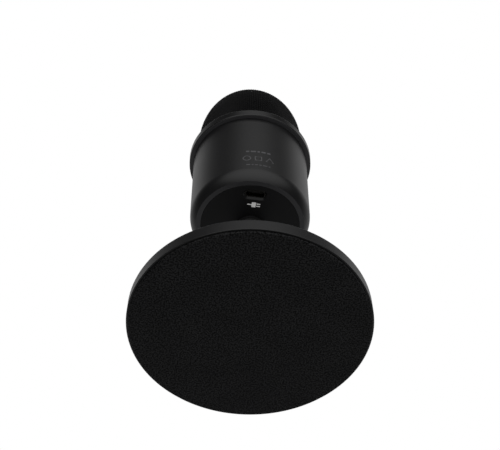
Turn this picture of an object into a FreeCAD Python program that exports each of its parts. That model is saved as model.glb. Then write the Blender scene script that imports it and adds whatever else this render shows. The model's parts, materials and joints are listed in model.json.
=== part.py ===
"""Desktop USB microphone on a round weighted stand, in millimetres.

+Z is up, -Y is the side that faces the talker, and the origin is the centre of the foot pad's
underside. Every separate physical piece is a node of its own, written to parts/NODE.step.
"""

import FreeCAD
import Part

import math
import os

V = FreeCAD.Vector

# ---------------------------------------------------------------- clearances
FIT = 0.05  # radial gap of a piece glued, pressed or screwed into another
RUNNING_FIT = 0.08  # radial gap of a shaft that turns in its bore
SLIDE_GAP = 0.3  # gap round a piece that a finger moves

# ---------------------------------------------------------------- stand base
BASE_RADIUS = 50.0
RIM_DRAFT = 0.1  # the rim leans in by this much over its height
RIM_HEIGHT = 6.0
RIM_TOP_FILLET = 0.5
RIM_BOTTOM_FILLET = 0.25
BASE_RISE = 2.8  # how far the top face climbs from the rim to the post's seat
COVER_WALL = 1.8
HUB_BLEND_RADIUS = 12.0
RIM_LIP = 0.8  # width of the rim's underside round the foot pad
PAD_THICKNESS = 2.5
PAD_PROUD = 1.2  # how far the foot pad stands below the rim
PAD_GAP = 0.1
PAD_EDGE_RADIUS = 0.5
PAD_BACKING = 2.0  # ledge of the cover that backs the pad's edge
WEIGHT_THICKNESS = 4.0
WEIGHT_FILLET = 0.4
POST_SCREW_RADIUS = 3.0
POST_SCREW_HEAD_RADIUS = 5.8
POST_SCREW_HEAD_HEIGHT = 2.9
POST_SCREW_LENGTH = 22.0
POST_SCREW_SOCKET_ACROSS_FLATS = 4.0
POST_SCREW_SOCKET_DEPTH = 1.9
SCREW_POINT = 0.6  # chamfer at a screw's or a stud's end

# ---------------------------------------------------------------- stand post and tilt hinge
POST_RADIUS = 8.0
POST_FOOT_RADIUS = 10.0
POST_FOOT_HEIGHT = 1.6
GASKET_THICKNESS = 0.5
HINGE_HEIGHT = 50.0
FORK_ABOVE_HINGE = 5.0
FORK_EDGE_RADIUS = 0.4
TONGUE_THICKNESS = 6.0
TONGUE_END_RADIUS = 6.2
HINGE_WASHER_THICKNESS = 0.4
HINGE_WASHER_WIDTH = 2.9
HINGE_SIDE_PLAY = 0.05  # gap on each face of each hinge washer
SLOT_FLOOR_GAP = 0.5
NECK_ABOVE_HINGE = 8.6
HINGE_BOLT_RADIUS = 2.5
BOLT_HEAD_OVERHANG = 1.9
BOLT_HEAD_HEIGHT = 2.6
BOLT_HEAD_FILLET = 1.4
BOLT_SEAT_DEPTH = 1.8  # how far the bolt's head and the nut are let into the post
BOLT_SEAT_GAP = 0.6
NUT_WALL = 1.5
NUT_HEIGHT = 2.7
HEX_KEY_ACROSS_FLATS = 3.0
HEX_KEY_DEPTH = 1.4

# ---------------------------------------------------------------- knuckle, stud and swivel
NECK_WALL = 1.44  # round the stud
FLANGE_OVERHANG = 1.84  # past the stud
FLANGE_THICKNESS = 1.7
FLANGE_EDGE_RADIUS = 0.2
STUD_RADIUS = 4.76
STUD_IN_KNUCKLE = 6.5
STUD_IN_MIC = 10.0
SWIVEL_WASHER_THICKNESS = 1.3
SWIVEL_WASHER_INSET = 0.6
SWIVEL_PLAY = 0.1
MIC_ABOVE_HINGE = 19.4

# ---------------------------------------------------------------- microphone housing
SHELL_RADIUS = 27.2
SHELL_WALL = 2.0
SHELL_HEIGHT = 47.7
ROLL_INSET = 2.7  # how far the shell's lower edge is rolled in
ROLL_ANGLE = 50.0  # from upright, where the roll meets the flat underside
ROLL_RADIUS = 7.5
LIP_WIDTH = 2.2  # flat ring of the shell's underside, between its roll and the cap
CAP_THICKNESS = 2.4
CAP_FLANGE_THICKNESS = 1.8
CAP_FLANGE_WIDTH = 5.5
CAP_FLANGE_GAP = 0.2
BOSS_RADIUS = 3.0
BOSS_INSET = 3.5  # from the cap's edge to the middle of a boss
CAP_BOSS_ANGLES = (30.0, 150.0, 225.0)
DECK_BOSS_ANGLES = (90.0, 210.0, 330.0)
INSERT_WALL = 2.2
INSERT_LENGTH = 11.0
INSERT_RECESS = 0.8  # above the cap's face, behind its rim round the stud
STUD_HOLE_GAP = 0.3  # between the stud and the cap's face
INSERT_FLANGE_WIDTH = 2.5
INSERT_FLANGE_THICKNESS = 1.5

# ---------------------------------------------------------------- sockets in the underside
USB_INSET = 5.15  # from the cap's edge to the middle of the socket
USB_WIDTH = 8.94
USB_DEPTH = 3.26
USB_WALL = 0.3
USB_LENGTH = 6.8
USB_RECESS = 0.8
USB_CUTOUT_GAP = 0.13
USB_CUTOUT_CHAMFER = 0.8
USB_BLOCK_LENGTH = 1.2
TONGUE_WIDTH = 6.69
TONGUE_DEPTH = 0.7
TONGUE_LENGTH = 5.2
PIN_COUNT = 12
PIN_PITCH = 0.5
PIN_WIDTH = 0.26
PIN_THICKNESS = 0.08
PIN_SETBACK = 0.6
JACK_CLEARANCE = 1.3  # between the jack's body and the insert's flange
JACK_BORE_RADIUS = 1.8
JACK_BORE_LENGTH = 14.0
JACK_NOSE_RADIUS = 3.2
JACK_NOSE_CHAMFER = 0.4
JACK_WIDTH = 8.6
JACK_DEPTH = 7.6
JACK_LENGTH = 12.2
JACK_CORNER = 0.6

# ---------------------------------------------------------------- boards and chassis
BOARD_THICKNESS = 1.6
BOARD_EDGE_GAP = 2.2
IO_BOARD_BORE_GAP = 0.6
CHASSIS_GAP = 0.7
CHASSIS_RING_WIDTH = 3.9
CHASSIS_RING_THICKNESS = 2.0
CHASSIS_POST_HEIGHT = 6.0
RAIL_WIDTH = 5.6
RAIL_DEPTH = 7.2
RAIL_GROOVE = 0.9
MAIN_BOARD_WIDTH = 34.0
MAIN_BOARD_BACK_TO_JACK = 3.2  # how far the board's back stands behind the jack's middle
MAIN_BOARD_TOP_GAP = 2.4
SCREW_RADIUS = 1.25
SCREW_HEAD_RADIUS = 2.3
SCREW_HEAD_HEIGHT = 1.5
SCREW_HEAD_FILLET = 0.5
SCREW_LENGTH = 7.0
SCREW_CROSS_WIDTH = 0.6
SCREW_CROSS_DEPTH = 0.9
HEADER_WIDTH = 15.0
HEADER_DEPTH = 2.5
HEADER_OVERLAP = 2.4
HEADER_WALL = 1.0
CAN_RADIUS = 2.0
CAN_HEIGHT = 4.4

# ---------------------------------------------------------------- volume control
KNOB_ABOVE_BOTTOM = 20.0
KNOB_RADIUS = 7.8
KNOB_LENGTH = 7.2
KNOB_CHAMFER = 0.5
KNOB_FLUTES = 40
KNOB_FLUTE_RADIUS = 0.42
KNOB_PLAIN_RIM = 1.0  # smooth band between the flutes and the face
KNOB_FACE_DISH = 0.5
KNOB_FACE_EDGE = 1.8
KNOB_MARK_WIDTH = 0.8
KNOB_MARK_LENGTH = 3.0
KNOB_MARK_DEPTH = 0.35
KNOB_MARK_INSET = 0.5
BEZEL_OVERHANG = 1.3  # past the knob's edge
BEZEL_PROUD = 0.5
BEZEL_DISH_DEPTH = 0.9
BEZEL_WALL = 0.8
BEZEL_FILLET = 0.35
TRIM_BACK_GAP = 0.3  # how far a control's trim stands in front of the chassis
SHAFT_RADIUS = 3.0
SHAFT_IN_KNOB = 5.2
SHAFT_IN_POT = 1.6
SHAFT_FLAT = 0.8
POT_WIDTH = 11.0
POT_HEIGHT = 9.6
POT_DEPTH = 7.0
POT_BUSH_WALL = 0.7

# ---------------------------------------------------------------- mute button
BUTTON_BELOW_TOP = 10.9
BUTTON_RADIUS = 3.8
BUTTON_PROUD = 0.9
BUTTON_EDGE_RADIUS = 0.5
BUTTON_STEM_RADIUS = 1.5
PLUNGER_RADIUS = 1.4
PLUNGER_LENGTH = 2.8
PLUNGER_OUT = 1.4  # how far the plunger stands out of the switch
PLUNGER_SPACE = 1.2  # room behind the plunger for its travel
SWITCH_WIDTH = 6.0
SWITCH_DEPTH = 3.6
LIGHT_RING_WIDTH = 1.2
LIGHT_RING_PROUD = 0.2
LIGHT_LEG_RADIUS = 0.55
LED_SIZE = 1.6
LED_HEIGHT = 1.1
LED_GAP = 0.1

# ---------------------------------------------------------------- head of the microphone
COLLAR_OVERHANG = 2.1  # past the shell
COLLAR_HEIGHT = 4.2
COLLAR_DRAFT = 0.1  # how much narrower the collar is below than above
COLLAR_UNDER_FILLET = 0.5
COLLAR_TOP_FILLET = 0.6
COLLAR_RIM = 3.6  # width of the collar's top face
COLLAR_GROOVE_DEPTH = 3.2
COLLAR_SPIGOT = 4.6
COLLAR_SPIGOT_WALL = 2.6
GRILLE_GAP = 0.3
GRILLE_WALL = 0.9
GRILLE_STRAIGHT = 17.3  # height of the grille's upright wall, from its seat in the collar
GRILLE_DOME_HEIGHT = 33.8
RETAINER_HEIGHT = 1.6
RETAINER_WIDTH = 1.75
FOAM_WALL = 3.0
FOAM_GAP = 0.2
DECK_GAP = 0.2
DECK_THICKNESS = 2.0
DECK_FILLET = 0.4
PILLAR_RADIUS = 4.0
PILLAR_HEIGHT = 10.0
PILLAR_FOOT_FILLET = 1.5
LEAD_HOLE_Y = 9.0
LEAD_HOLE_RADIUS = 3.0

# ---------------------------------------------------------------- capsule
CAPSULE_ABOVE_PILLAR = 17.0
CAPSULE_RADIUS = 8.0
CAPSULE_LENGTH = 6.0
CAPSULE_WALL = 0.6
DIAPHRAGM_THICKNESS = 0.2
DIAPHRAGM_RECESS = 0.8
SPACER_THICKNESS = 0.4
SPACER_WIDTH = 1.0
BACKPLATE_THICKNESS = 1.2
BACKPLATE_HOLE_RADIUS = 0.35
BACKPLATE_HOLE_RINGS = ((2.2, 6), (4.6, 12))  # circle and count
SLEEVE_WIDTH = 1.2
CAPSULE_BOARD_THICKNESS = 0.8
GUARD_THICKNESS = 0.3
GUARD_INSET = 0.1
GUARD_SLOT_COUNT = 5
GUARD_SLOT_WIDTH = 0.8
CRADLE_WALL = 2.4
CRADLE_DEPTH = 4.8
CRADLE_FOOT_WALL = 1.6
CRADLE_FOOT_HEIGHT = 4.0
LEAD_RADIUS = 0.45
LEAD_X = 1.6
LEAD_STAGGER = 1.6  # the left lead leaves the capsule this much lower than the right
LEAD_ROUTE = (
    (3.0, 24.5),
    (6.3, 24.5),
    (9.3, 21.0),
    (9.6, 14.6),
    (9.0, 7.6),
    (9.2, 0.6),
    (8.0, -5.8),
    (3.0, -9.3),
    (-4.6, -10.0),
    (-11.2, -10.0),
)

# ---------------------------------------------------------------- stand sizes that follow
RIM_BOTTOM = PAD_PROUD
RIM_TOP = RIM_BOTTOM + RIM_HEIGHT
RIM_TOP_RADIUS = BASE_RADIUS - RIM_DRAFT
PAD_RECESS_RADIUS = BASE_RADIUS - RIM_LIP
PAD_RADIUS = PAD_RECESS_RADIUS - PAD_GAP
POCKET_RADIUS = PAD_RECESS_RADIUS - PAD_BACKING
WEIGHT_RADIUS = POCKET_RADIUS - PAD_GAP
WEIGHT_TOP = PAD_THICKNESS + WEIGHT_THICKNESS
POST_SCREW_HEAD_TOP = PAD_THICKNESS + POST_SCREW_HEAD_HEIGHT
BASE_TOP = RIM_TOP + BASE_RISE
POST_BOTTOM = BASE_TOP + GASKET_THICKNESS
FORK_TOP = HINGE_HEIGHT + FORK_ABOVE_HINGE
SLOT_FLOOR = HINGE_HEIGHT - TONGUE_END_RADIUS - SLOT_FLOOR_GAP
SLOT_WIDTH = TONGUE_THICKNESS + 2 * (HINGE_WASHER_THICKNESS + 2 * HINGE_SIDE_PLAY)
BOLT_SEAT_X = POST_RADIUS - BOLT_SEAT_DEPTH
BOLT_HEAD_RADIUS = HINGE_BOLT_RADIUS + BOLT_HEAD_OVERHANG
NUT_ACROSS_FLATS = 2 * (HINGE_BOLT_RADIUS + NUT_WALL)
HINGE_WASHER_RADIUS = HINGE_BOLT_RADIUS + HINGE_WASHER_WIDTH
NECK_BOTTOM = HINGE_HEIGHT + NECK_ABOVE_HINGE
MIC_BOTTOM = HINGE_HEIGHT + MIC_ABOVE_HINGE
NECK_RADIUS = STUD_RADIUS + NECK_WALL
FLANGE_RADIUS = STUD_RADIUS + FLANGE_OVERHANG
FLANGE_TOP = MIC_BOTTOM - SWIVEL_PLAY - SWIVEL_WASHER_THICKNESS
FLANGE_BOTTOM = FLANGE_TOP - FLANGE_THICKNESS
STUD_BOTTOM = FLANGE_TOP - STUD_IN_KNUCKLE
STUD_TOP = MIC_BOTTOM + STUD_IN_MIC
SWIVEL_WASHER_RADIUS = FLANGE_RADIUS - SWIVEL_WASHER_INSET

# ---------------------------------------------------------------- housing sizes that follow
SHELL_BORE = SHELL_RADIUS - SHELL_WALL
SHELL_TOP = MIC_BOTTOM + SHELL_HEIGHT
LIP_TOP = MIC_BOTTOM + SHELL_WALL
ROLL_CORNER = MIC_BOTTOM + ROLL_INSET / math.tan(math.radians(ROLL_ANGLE))
CAP_RADIUS = SHELL_RADIUS - ROLL_INSET - LIP_WIDTH
CAP_FLANGE_RADIUS = SHELL_BORE - CAP_FLANGE_GAP
CAP_FLANGE_TOP = LIP_TOP + CAP_FLANGE_THICKNESS
CAP_INSIDE = MIC_BOTTOM + CAP_THICKNESS
BOSS_CIRCLE = CAP_RADIUS - BOSS_INSET
INSERT_BORE = STUD_RADIUS + RUNNING_FIT
INSERT_RADIUS = INSERT_BORE + INSERT_WALL
INSERT_BOTTOM = MIC_BOTTOM + INSERT_RECESS
INSERT_FLANGE_RADIUS = INSERT_RADIUS + INSERT_FLANGE_WIDTH
USB_Y = CAP_RADIUS - USB_INSET
USB_BOTTOM = MIC_BOTTOM + USB_RECESS
USB_BACK = USB_BOTTOM + USB_LENGTH - USB_WALL
JACK_Y = -(INSERT_FLANGE_RADIUS + JACK_CLEARANCE + JACK_DEPTH / 2)
JACK_BOTTOM = MIC_BOTTOM + FIT
IO_BOARD_BOTTOM = USB_BOTTOM + USB_LENGTH
IO_BOARD_TOP = IO_BOARD_BOTTOM + BOARD_THICKNESS
IO_BOARD_RADIUS = SHELL_BORE - BOARD_EDGE_GAP
IO_BOARD_BORE = INSERT_RADIUS + IO_BOARD_BORE_GAP
CHASSIS_OUTER = SHELL_BORE - CHASSIS_GAP
CHASSIS_INNER = CHASSIS_OUTER - CHASSIS_RING_WIDTH
CHASSIS_RING_TOP = IO_BOARD_TOP + CHASSIS_RING_THICKNESS
CHASSIS_TOP = SHELL_TOP - COLLAR_SPIGOT
MAIN_BOARD_BACK_Y = JACK_Y + MAIN_BOARD_BACK_TO_JACK
MAIN_BOARD_FRONT_Y = MAIN_BOARD_BACK_Y - BOARD_THICKNESS
MAIN_BOARD_TOP = CHASSIS_TOP - MAIN_BOARD_TOP_GAP

# ---------------------------------------------------------------- controls' sizes that follow
TRIM_BACK_Y = -(SHELL_BORE - TRIM_BACK_GAP)
KNOB_Z = MIC_BOTTOM + KNOB_ABOVE_BOTTOM
MAIN_BOARD_BOTTOM = KNOB_Z - POT_HEIGHT / 2 - SLIDE_GAP
BEZEL_RADIUS = KNOB_RADIUS + BEZEL_OVERHANG
BEZEL_FRONT_Y = -(SHELL_RADIUS + BEZEL_PROUD)
KNOB_BACK_Y = BEZEL_FRONT_Y - SLIDE_GAP
KNOB_FRONT_Y = KNOB_BACK_Y - KNOB_LENGTH
KNOB_FACE_RADIUS = KNOB_RADIUS - KNOB_FACE_EDGE
KNOB_MARK_Z = KNOB_Z + KNOB_FACE_RADIUS - KNOB_MARK_LENGTH / 2 - KNOB_MARK_INSET
POT_FRONT_Y = MAIN_BOARD_FRONT_Y - POT_DEPTH
POT_BUSH_RADIUS = SHAFT_RADIUS + POT_BUSH_WALL
SHAFT_FRONT_Y = KNOB_BACK_Y - SHAFT_IN_KNOB
SHAFT_BACK_Y = POT_FRONT_Y + SHAFT_IN_POT
BUTTON_Z = SHELL_TOP - BUTTON_BELOW_TOP
BUTTON_FRONT_Y = -(SHELL_RADIUS + BUTTON_PROUD)
BUTTON_BACK_Y = -SHELL_BORE
LIGHT_RING_BORE = BUTTON_RADIUS + SLIDE_GAP
LIGHT_RING_RADIUS = LIGHT_RING_BORE + LIGHT_RING_WIDTH
LIGHT_RING_FRONT_Y = -(SHELL_RADIUS + LIGHT_RING_PROUD)
LIGHT_LEG_X = (LIGHT_RING_BORE + LIGHT_RING_RADIUS) / 2
SWITCH_FRONT_Y = MAIN_BOARD_FRONT_Y - SWITCH_DEPTH
PLUNGER_FRONT_Y = SWITCH_FRONT_Y - PLUNGER_OUT
PLUNGER_BACK_Y = PLUNGER_FRONT_Y + PLUNGER_LENGTH
LED_FRONT_Y = MAIN_BOARD_FRONT_Y - LED_HEIGHT

# ---------------------------------------------------------------- head sizes that follow
COLLAR_RADIUS = SHELL_RADIUS + COLLAR_OVERHANG
COLLAR_TOP = SHELL_TOP + COLLAR_HEIGHT
COLLAR_RECESS_RADIUS = COLLAR_RADIUS - COLLAR_RIM
COLLAR_SPIGOT_RADIUS = SHELL_BORE - FIT
COLLAR_BORE = SHELL_BORE - COLLAR_SPIGOT_WALL
GRILLE_RADIUS = COLLAR_RECESS_RADIUS - GRILLE_GAP
GRILLE_SEAT = COLLAR_TOP - COLLAR_GROOVE_DEPTH
DOME_BASE = GRILLE_SEAT + GRILLE_STRAIGHT
GRILLE_TOP = DOME_BASE + GRILLE_DOME_HEIGHT
RETAINER_RADIUS = GRILLE_RADIUS - GRILLE_WALL - FIT
FOAM_RADIUS = GRILLE_RADIUS - GRILLE_WALL - FOAM_GAP
FOAM_BOTTOM = GRILLE_SEAT + RETAINER_HEIGHT
DECK_RADIUS = COLLAR_BORE - DECK_GAP
DECK_TOP = CHASSIS_TOP + DECK_THICKNESS
PILLAR_TOP = DECK_TOP + PILLAR_HEIGHT
CAPSULE_Z = PILLAR_TOP + CAPSULE_ABOVE_PILLAR
CRADLE_RADIUS = CAPSULE_RADIUS + FIT + CRADLE_WALL
CAPSULE_INNER = CAPSULE_RADIUS - CAPSULE_WALL
CAPSULE_STACK_RADIUS = CAPSULE_INNER - FIT
CAPSULE_FRONT_Y = -CAPSULE_LENGTH / 2
CAPSULE_BACK_Y = CAPSULE_LENGTH / 2
DIAPHRAGM_Y = CAPSULE_FRONT_Y + DIAPHRAGM_RECESS
SPACER_Y = DIAPHRAGM_Y + DIAPHRAGM_THICKNESS
BACKPLATE_Y = SPACER_Y + SPACER_THICKNESS
SLEEVE_Y = BACKPLATE_Y + BACKPLATE_THICKNESS
CAPSULE_BOARD_Y = CAPSULE_BACK_Y - CAPSULE_BOARD_THICKNESS


# ================================================================ shape helpers
def rounded_outline(corners, close=True):
    """Wire through corners (point, radius), each rounded by a tangent arc of its radius."""
    points = [p for p, _ in corners]
    radii = [r for _, r in corners]
    count = len(points)
    starts, ends, middles = [], [], []
    for i, corner in enumerate(points):
        inner = close or 0 < i < count - 1
        if not inner or radii[i] <= 0:
            starts.append(corner)
            ends.append(corner)
            middles.append(None)
            continue
        into = (corner - points[i - 1]).normalize()
        out = (points[(i + 1) % count] - corner).normalize()
        half_turn = into.getAngle(out) / 2
        setback = radii[i] * math.tan(half_turn)
        towards_centre = (out - into).normalize()
        starts.append(corner - into * setback)
        ends.append(corner + out * setback)
        middles.append(corner + towards_centre * (radii[i] / math.cos(half_turn) - radii[i]))
    edges = []
    for i in range(count):
        if middles[i] is not None:
            edges.append(Part.Arc(starts[i], middles[i], ends[i]).toShape())
        following = (i + 1) % count
        last = not close and i == count - 1
        if not last and (starts[following] - ends[i]).Length > 1e-6:
            edges.append(Part.LineSegment(ends[i], starts[following]).toShape())
    return Part.Wire(edges)


def lathe(*corners):
    """Solid turned about Z from an outline of (radius, height) or (radius, height, fillet)."""
    outline = rounded_outline([(V(c[0], 0, c[1]), c[2] if len(c) > 2 else 0) for c in corners])
    return Part.Face(outline).revolve(V(0, 0, 0), V(0, 0, 1), 360)


def cylinder(radius, bottom, top, x=0.0, y=0.0):
    """Upright cylinder between two heights."""
    return Part.makeCylinder(radius, top - bottom, V(x, y, bottom))


def cylinders(radius, bottom, top, places):
    """Upright cylinders between two heights, one at each place (x, y)."""
    return [cylinder(radius, bottom, top, x, y) for x, y in places]


def tube(outer, inner, bottom, top):
    """Upright tube about Z."""
    return cylinder(outer, bottom, top).cut(cylinder(inner, bottom, top))


def bar_x(radius, x_from, x_to):
    """Cylinder along X on the hinge's axis."""
    return Part.makeCylinder(radius, x_to - x_from, V(x_from, 0, HINGE_HEIGHT), V(1, 0, 0))


def bar_y(radius, y_from, y_to, x=0.0, z=0.0):
    """Cylinder along Y between two places."""
    return Part.makeCylinder(radius, y_to - y_from, V(x, y_from, z), V(0, 1, 0))


def box(x, y, z):
    """Box between pairs of limits on each axis."""
    return Part.makeBox(x[1] - x[0], y[1] - y[0], z[1] - z[0], V(x[0], y[0], z[0]))


def centred(width, middle=0.0):
    """Pair of limits a width apart about a middle."""
    return (middle - width / 2, middle + width / 2)


def rounded_prism(width, depth, fillet, bottom, top, y=0.0):
    """Upright prism with rounded upright edges."""
    x0, x1 = centred(width)
    y0, y1 = centred(depth, y)
    corners = [V(x0, y0, bottom), V(x1, y0, bottom), V(x1, y1, bottom), V(x0, y1, bottom)]
    wire = rounded_outline([(corner, fillet) for corner in corners])
    return Part.Face(wire).extrude(V(0, 0, top - bottom))


def hexagon(across_flats, start, along):
    """Hexagonal prism from a start point, along X or Z."""
    radius = across_flats / math.sqrt(3)
    side = V(0, 0, 1) if abs(along.x) > 0 else V(1, 0, 0)
    turns = [math.radians(60 * i) for i in range(7)]
    points = [start + V(0, radius * math.cos(a), 0) + side * (radius * math.sin(a)) for a in turns]
    return Part.Face(Part.makePolygon(points)).extrude(along)


def around(circle, degrees):
    """Place (x, y) on a circle about Z."""
    angle = math.radians(degrees)
    return circle * math.cos(angle), circle * math.sin(angle)


def join(*shapes):
    """One solid from overlapping shapes."""
    return shapes[0].multiFuse(list(shapes[1:])).removeSplitter()


def group(shapes):
    """Several separate solids in one node."""
    return Part.makeCompound(list(shapes))


def soften(shape, size, side, at):
    """Fillet the round edges that lie in the plane where a side, such as YMin, is at a value."""
    edges = [e for e in shape.Edges if abs(getattr(e.BoundBox, side) - at) < 1e-6 and e.Closed]
    return shape.makeFillet(size, edges)


def dome_shell(outer, wall, bottom, straight_top, dome_height):
    """Thin wall that rises straight and closes in half an ellipse."""

    def quarter(radius, height):
        ellipse = Part.Ellipse(V(0, 0, straight_top), max(radius, height), min(radius, height))
        ellipse.Axis = V(0, -1, 0)
        ellipse.XAxis = V(0, 0, 1) if height > radius else V(1, 0, 0)
        side, top = V(radius, 0, straight_top), V(0, 0, straight_top + height)
        first, last = sorted((ellipse.parameter(side), ellipse.parameter(top)))
        if last - first > math.pi:
            first, last = last, first + 2 * math.pi
        return Part.ArcOfEllipse(ellipse, first, last).toShape()

    inner = outer - wall
    top = straight_top + dome_height
    edges = [
        Part.LineSegment(V(inner, 0, bottom), V(outer, 0, bottom)).toShape(),
        Part.LineSegment(V(outer, 0, bottom), V(outer, 0, straight_top)).toShape(),
        quarter(outer, dome_height),
        Part.LineSegment(V(0, 0, top), V(0, 0, top - wall)).toShape(),
        quarter(inner, dome_height - wall),
        Part.LineSegment(V(inner, 0, straight_top), V(inner, 0, bottom)).toShape(),
    ]
    wire = Part.Wire(Part.__sortEdges__(edges))
    return Part.Face(wire).revolve(V(0, 0, 0), V(0, 0, 1), 360)


def cord_path(points):
    """Straight runs joined by tangent arcs as large as the runs allow, and the arcs' radii."""
    corners = [(points[0], 0.0)]
    radii = []
    for before, here, after in zip(points, points[1:], points[2:]):
        shorter = min((here - before).Length, (after - here).Length)
        turn = (here - before).getAngle(after - here)
        radii.append(0.45 * shorter / math.tan(turn / 2))
        corners.append((here, radii[-1]))
    corners.append((points[-1], 0.0))
    return rounded_outline(corners, close=False), radii


def round_wire(path, radius):
    """Round cord swept along a path."""
    start = path.Vertexes[0].Point
    direction = path.Edges[0].tangentAt(path.Edges[0].FirstParameter)
    ring = Part.Wire([Part.Circle(start, direction, radius).toShape()])
    return path.makePipeShell([ring], True, False)


# ================================================================ stand base
def foot_pad():
    """Soft non-slip disc under the base."""
    return lathe(
        (0, 0),
        (PAD_RADIUS, 0, PAD_EDGE_RADIUS),
        (PAD_RADIUS, PAD_THICKNESS),
        (0, PAD_THICKNESS),
    )


def base_cover():
    """Cast shell of the base, open underneath for the weight and the pad."""
    hub_radius = POST_FOOT_RADIUS + COVER_WALL
    return lathe(
        (POST_SCREW_RADIUS + FIT, BASE_TOP),
        (POST_SCREW_RADIUS + FIT, WEIGHT_TOP),
        (POST_FOOT_RADIUS, WEIGHT_TOP),
        (POST_FOOT_RADIUS, BASE_TOP - COVER_WALL),
        (POCKET_RADIUS, max(RIM_TOP - COVER_WALL, WEIGHT_TOP)),
        (POCKET_RADIUS, PAD_THICKNESS),
        (PAD_RECESS_RADIUS, PAD_THICKNESS),
        (PAD_RECESS_RADIUS, RIM_BOTTOM),
        (BASE_RADIUS, RIM_BOTTOM, RIM_BOTTOM_FILLET),
        (RIM_TOP_RADIUS, RIM_TOP, RIM_TOP_FILLET),
        (hub_radius, BASE_TOP, HUB_BLEND_RADIUS),
    )


def base_weight():
    """Steel disc with a countersunk hole for the post's screw."""
    return lathe(
        (POST_SCREW_HEAD_RADIUS + FIT, PAD_THICKNESS),
        (WEIGHT_RADIUS, PAD_THICKNESS, WEIGHT_FILLET),
        (WEIGHT_RADIUS, WEIGHT_TOP, WEIGHT_FILLET),
        (POST_SCREW_RADIUS + FIT, WEIGHT_TOP),
        (POST_SCREW_RADIUS + FIT, POST_SCREW_HEAD_TOP),
    )


def post_screw():
    """Countersunk screw that ties the weight, the cover and the post together."""
    top = PAD_THICKNESS + POST_SCREW_LENGTH
    screw = lathe(
        (0, PAD_THICKNESS),
        (POST_SCREW_HEAD_RADIUS, PAD_THICKNESS),
        (POST_SCREW_RADIUS, POST_SCREW_HEAD_TOP),
        (POST_SCREW_RADIUS, top - SCREW_POINT),
        (POST_SCREW_RADIUS - SCREW_POINT, top),
        (0, top),
    )
    socket = V(0, 0, POST_SCREW_SOCKET_DEPTH)
    return screw.cut(hexagon(POST_SCREW_SOCKET_ACROSS_FLATS, V(0, 0, PAD_THICKNESS), socket))


def post_gasket():
    """Thin washer that keeps the post off the cover's paint."""
    outer = POST_FOOT_RADIUS - GASKET_THICKNESS
    return tube(outer, POST_SCREW_RADIUS + FIT, BASE_TOP, POST_BOTTOM)


def stand_post():
    """Turned post with a footing ring below and the hinge's fork cut in its top."""
    screw_hole_top = PAD_THICKNESS + POST_SCREW_LENGTH + SCREW_POINT
    foot_top = POST_BOTTOM + POST_FOOT_HEIGHT
    post = lathe(
        (POST_SCREW_RADIUS + FIT, POST_BOTTOM),
        (POST_FOOT_RADIUS, POST_BOTTOM, 0.3),
        (POST_FOOT_RADIUS, foot_top, 0.5),
        (POST_RADIUS, foot_top, 0.8),
        (POST_RADIUS, FORK_TOP, FORK_EDGE_RADIUS),
        (0, FORK_TOP),
        (0, screw_hole_top),
        (POST_SCREW_RADIUS + FIT, screw_hole_top),
    )
    reach = 2 * POST_RADIUS
    slot = box(centred(SLOT_WIDTH), centred(2 * reach), (SLOT_FLOOR, FORK_TOP + FIT))
    pin_hole = bar_x(HINGE_BOLT_RADIUS + FIT, -reach, reach)
    head_seat = bar_x(BOLT_HEAD_RADIUS + BOLT_SEAT_GAP, BOLT_SEAT_X, reach)
    pocket_start = V(-reach, 0, HINGE_HEIGHT)
    pocket_depth = V(reach - BOLT_SEAT_X, 0, 0)
    nut_pocket = hexagon(NUT_ACROSS_FLATS + 2 * FIT, pocket_start, pocket_depth)
    return post.cut(slot).cut(pin_hole).cut(head_seat).cut(nut_pocket)


def hinge_bolt():
    """Button-headed bolt through the fork and the knuckle, with a hexagon socket."""
    head_top = BOLT_SEAT_X + BOLT_HEAD_HEIGHT
    head = bar_x(BOLT_HEAD_RADIUS, BOLT_SEAT_X, head_top)
    head = soften(head, BOLT_HEAD_FILLET, "XMin", head_top)
    shank = bar_x(HINGE_BOLT_RADIUS, -BOLT_SEAT_X - NUT_HEIGHT, BOLT_SEAT_X)
    socket_start = V(head_top - HEX_KEY_DEPTH, 0, HINGE_HEIGHT)
    return join(head, shank).cut(hexagon(HEX_KEY_ACROSS_FLATS, socket_start, V(HEX_KEY_DEPTH, 0, 0)))


def hinge_nut():
    """Thin hexagon nut held in the fork's pocket."""
    x_in, x_out = -BOLT_SEAT_X, -BOLT_SEAT_X - NUT_HEIGHT
    body = hexagon(NUT_ACROSS_FLATS, V(x_out, 0, HINGE_HEIGHT), V(NUT_HEIGHT, 0, 0))
    rounded = body.common(bar_x(NUT_ACROSS_FLATS / 2 * 1.09, x_out, x_in))
    return rounded.cut(bar_x(HINGE_BOLT_RADIUS + FIT, x_out, x_in))


def hinge_washers():
    """Pair of nylon friction washers, one each side of the knuckle's tongue."""
    near = TONGUE_THICKNESS / 2 + HINGE_SIDE_PLAY
    far = near + HINGE_WASHER_THICKNESS
    hole = bar_x(HINGE_BOLT_RADIUS + FIT, -far, far)
    sides = ((near, far), (-far, -near))
    return group([bar_x(HINGE_WASHER_RADIUS, low, high).cut(hole) for low, high in sides])


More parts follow.
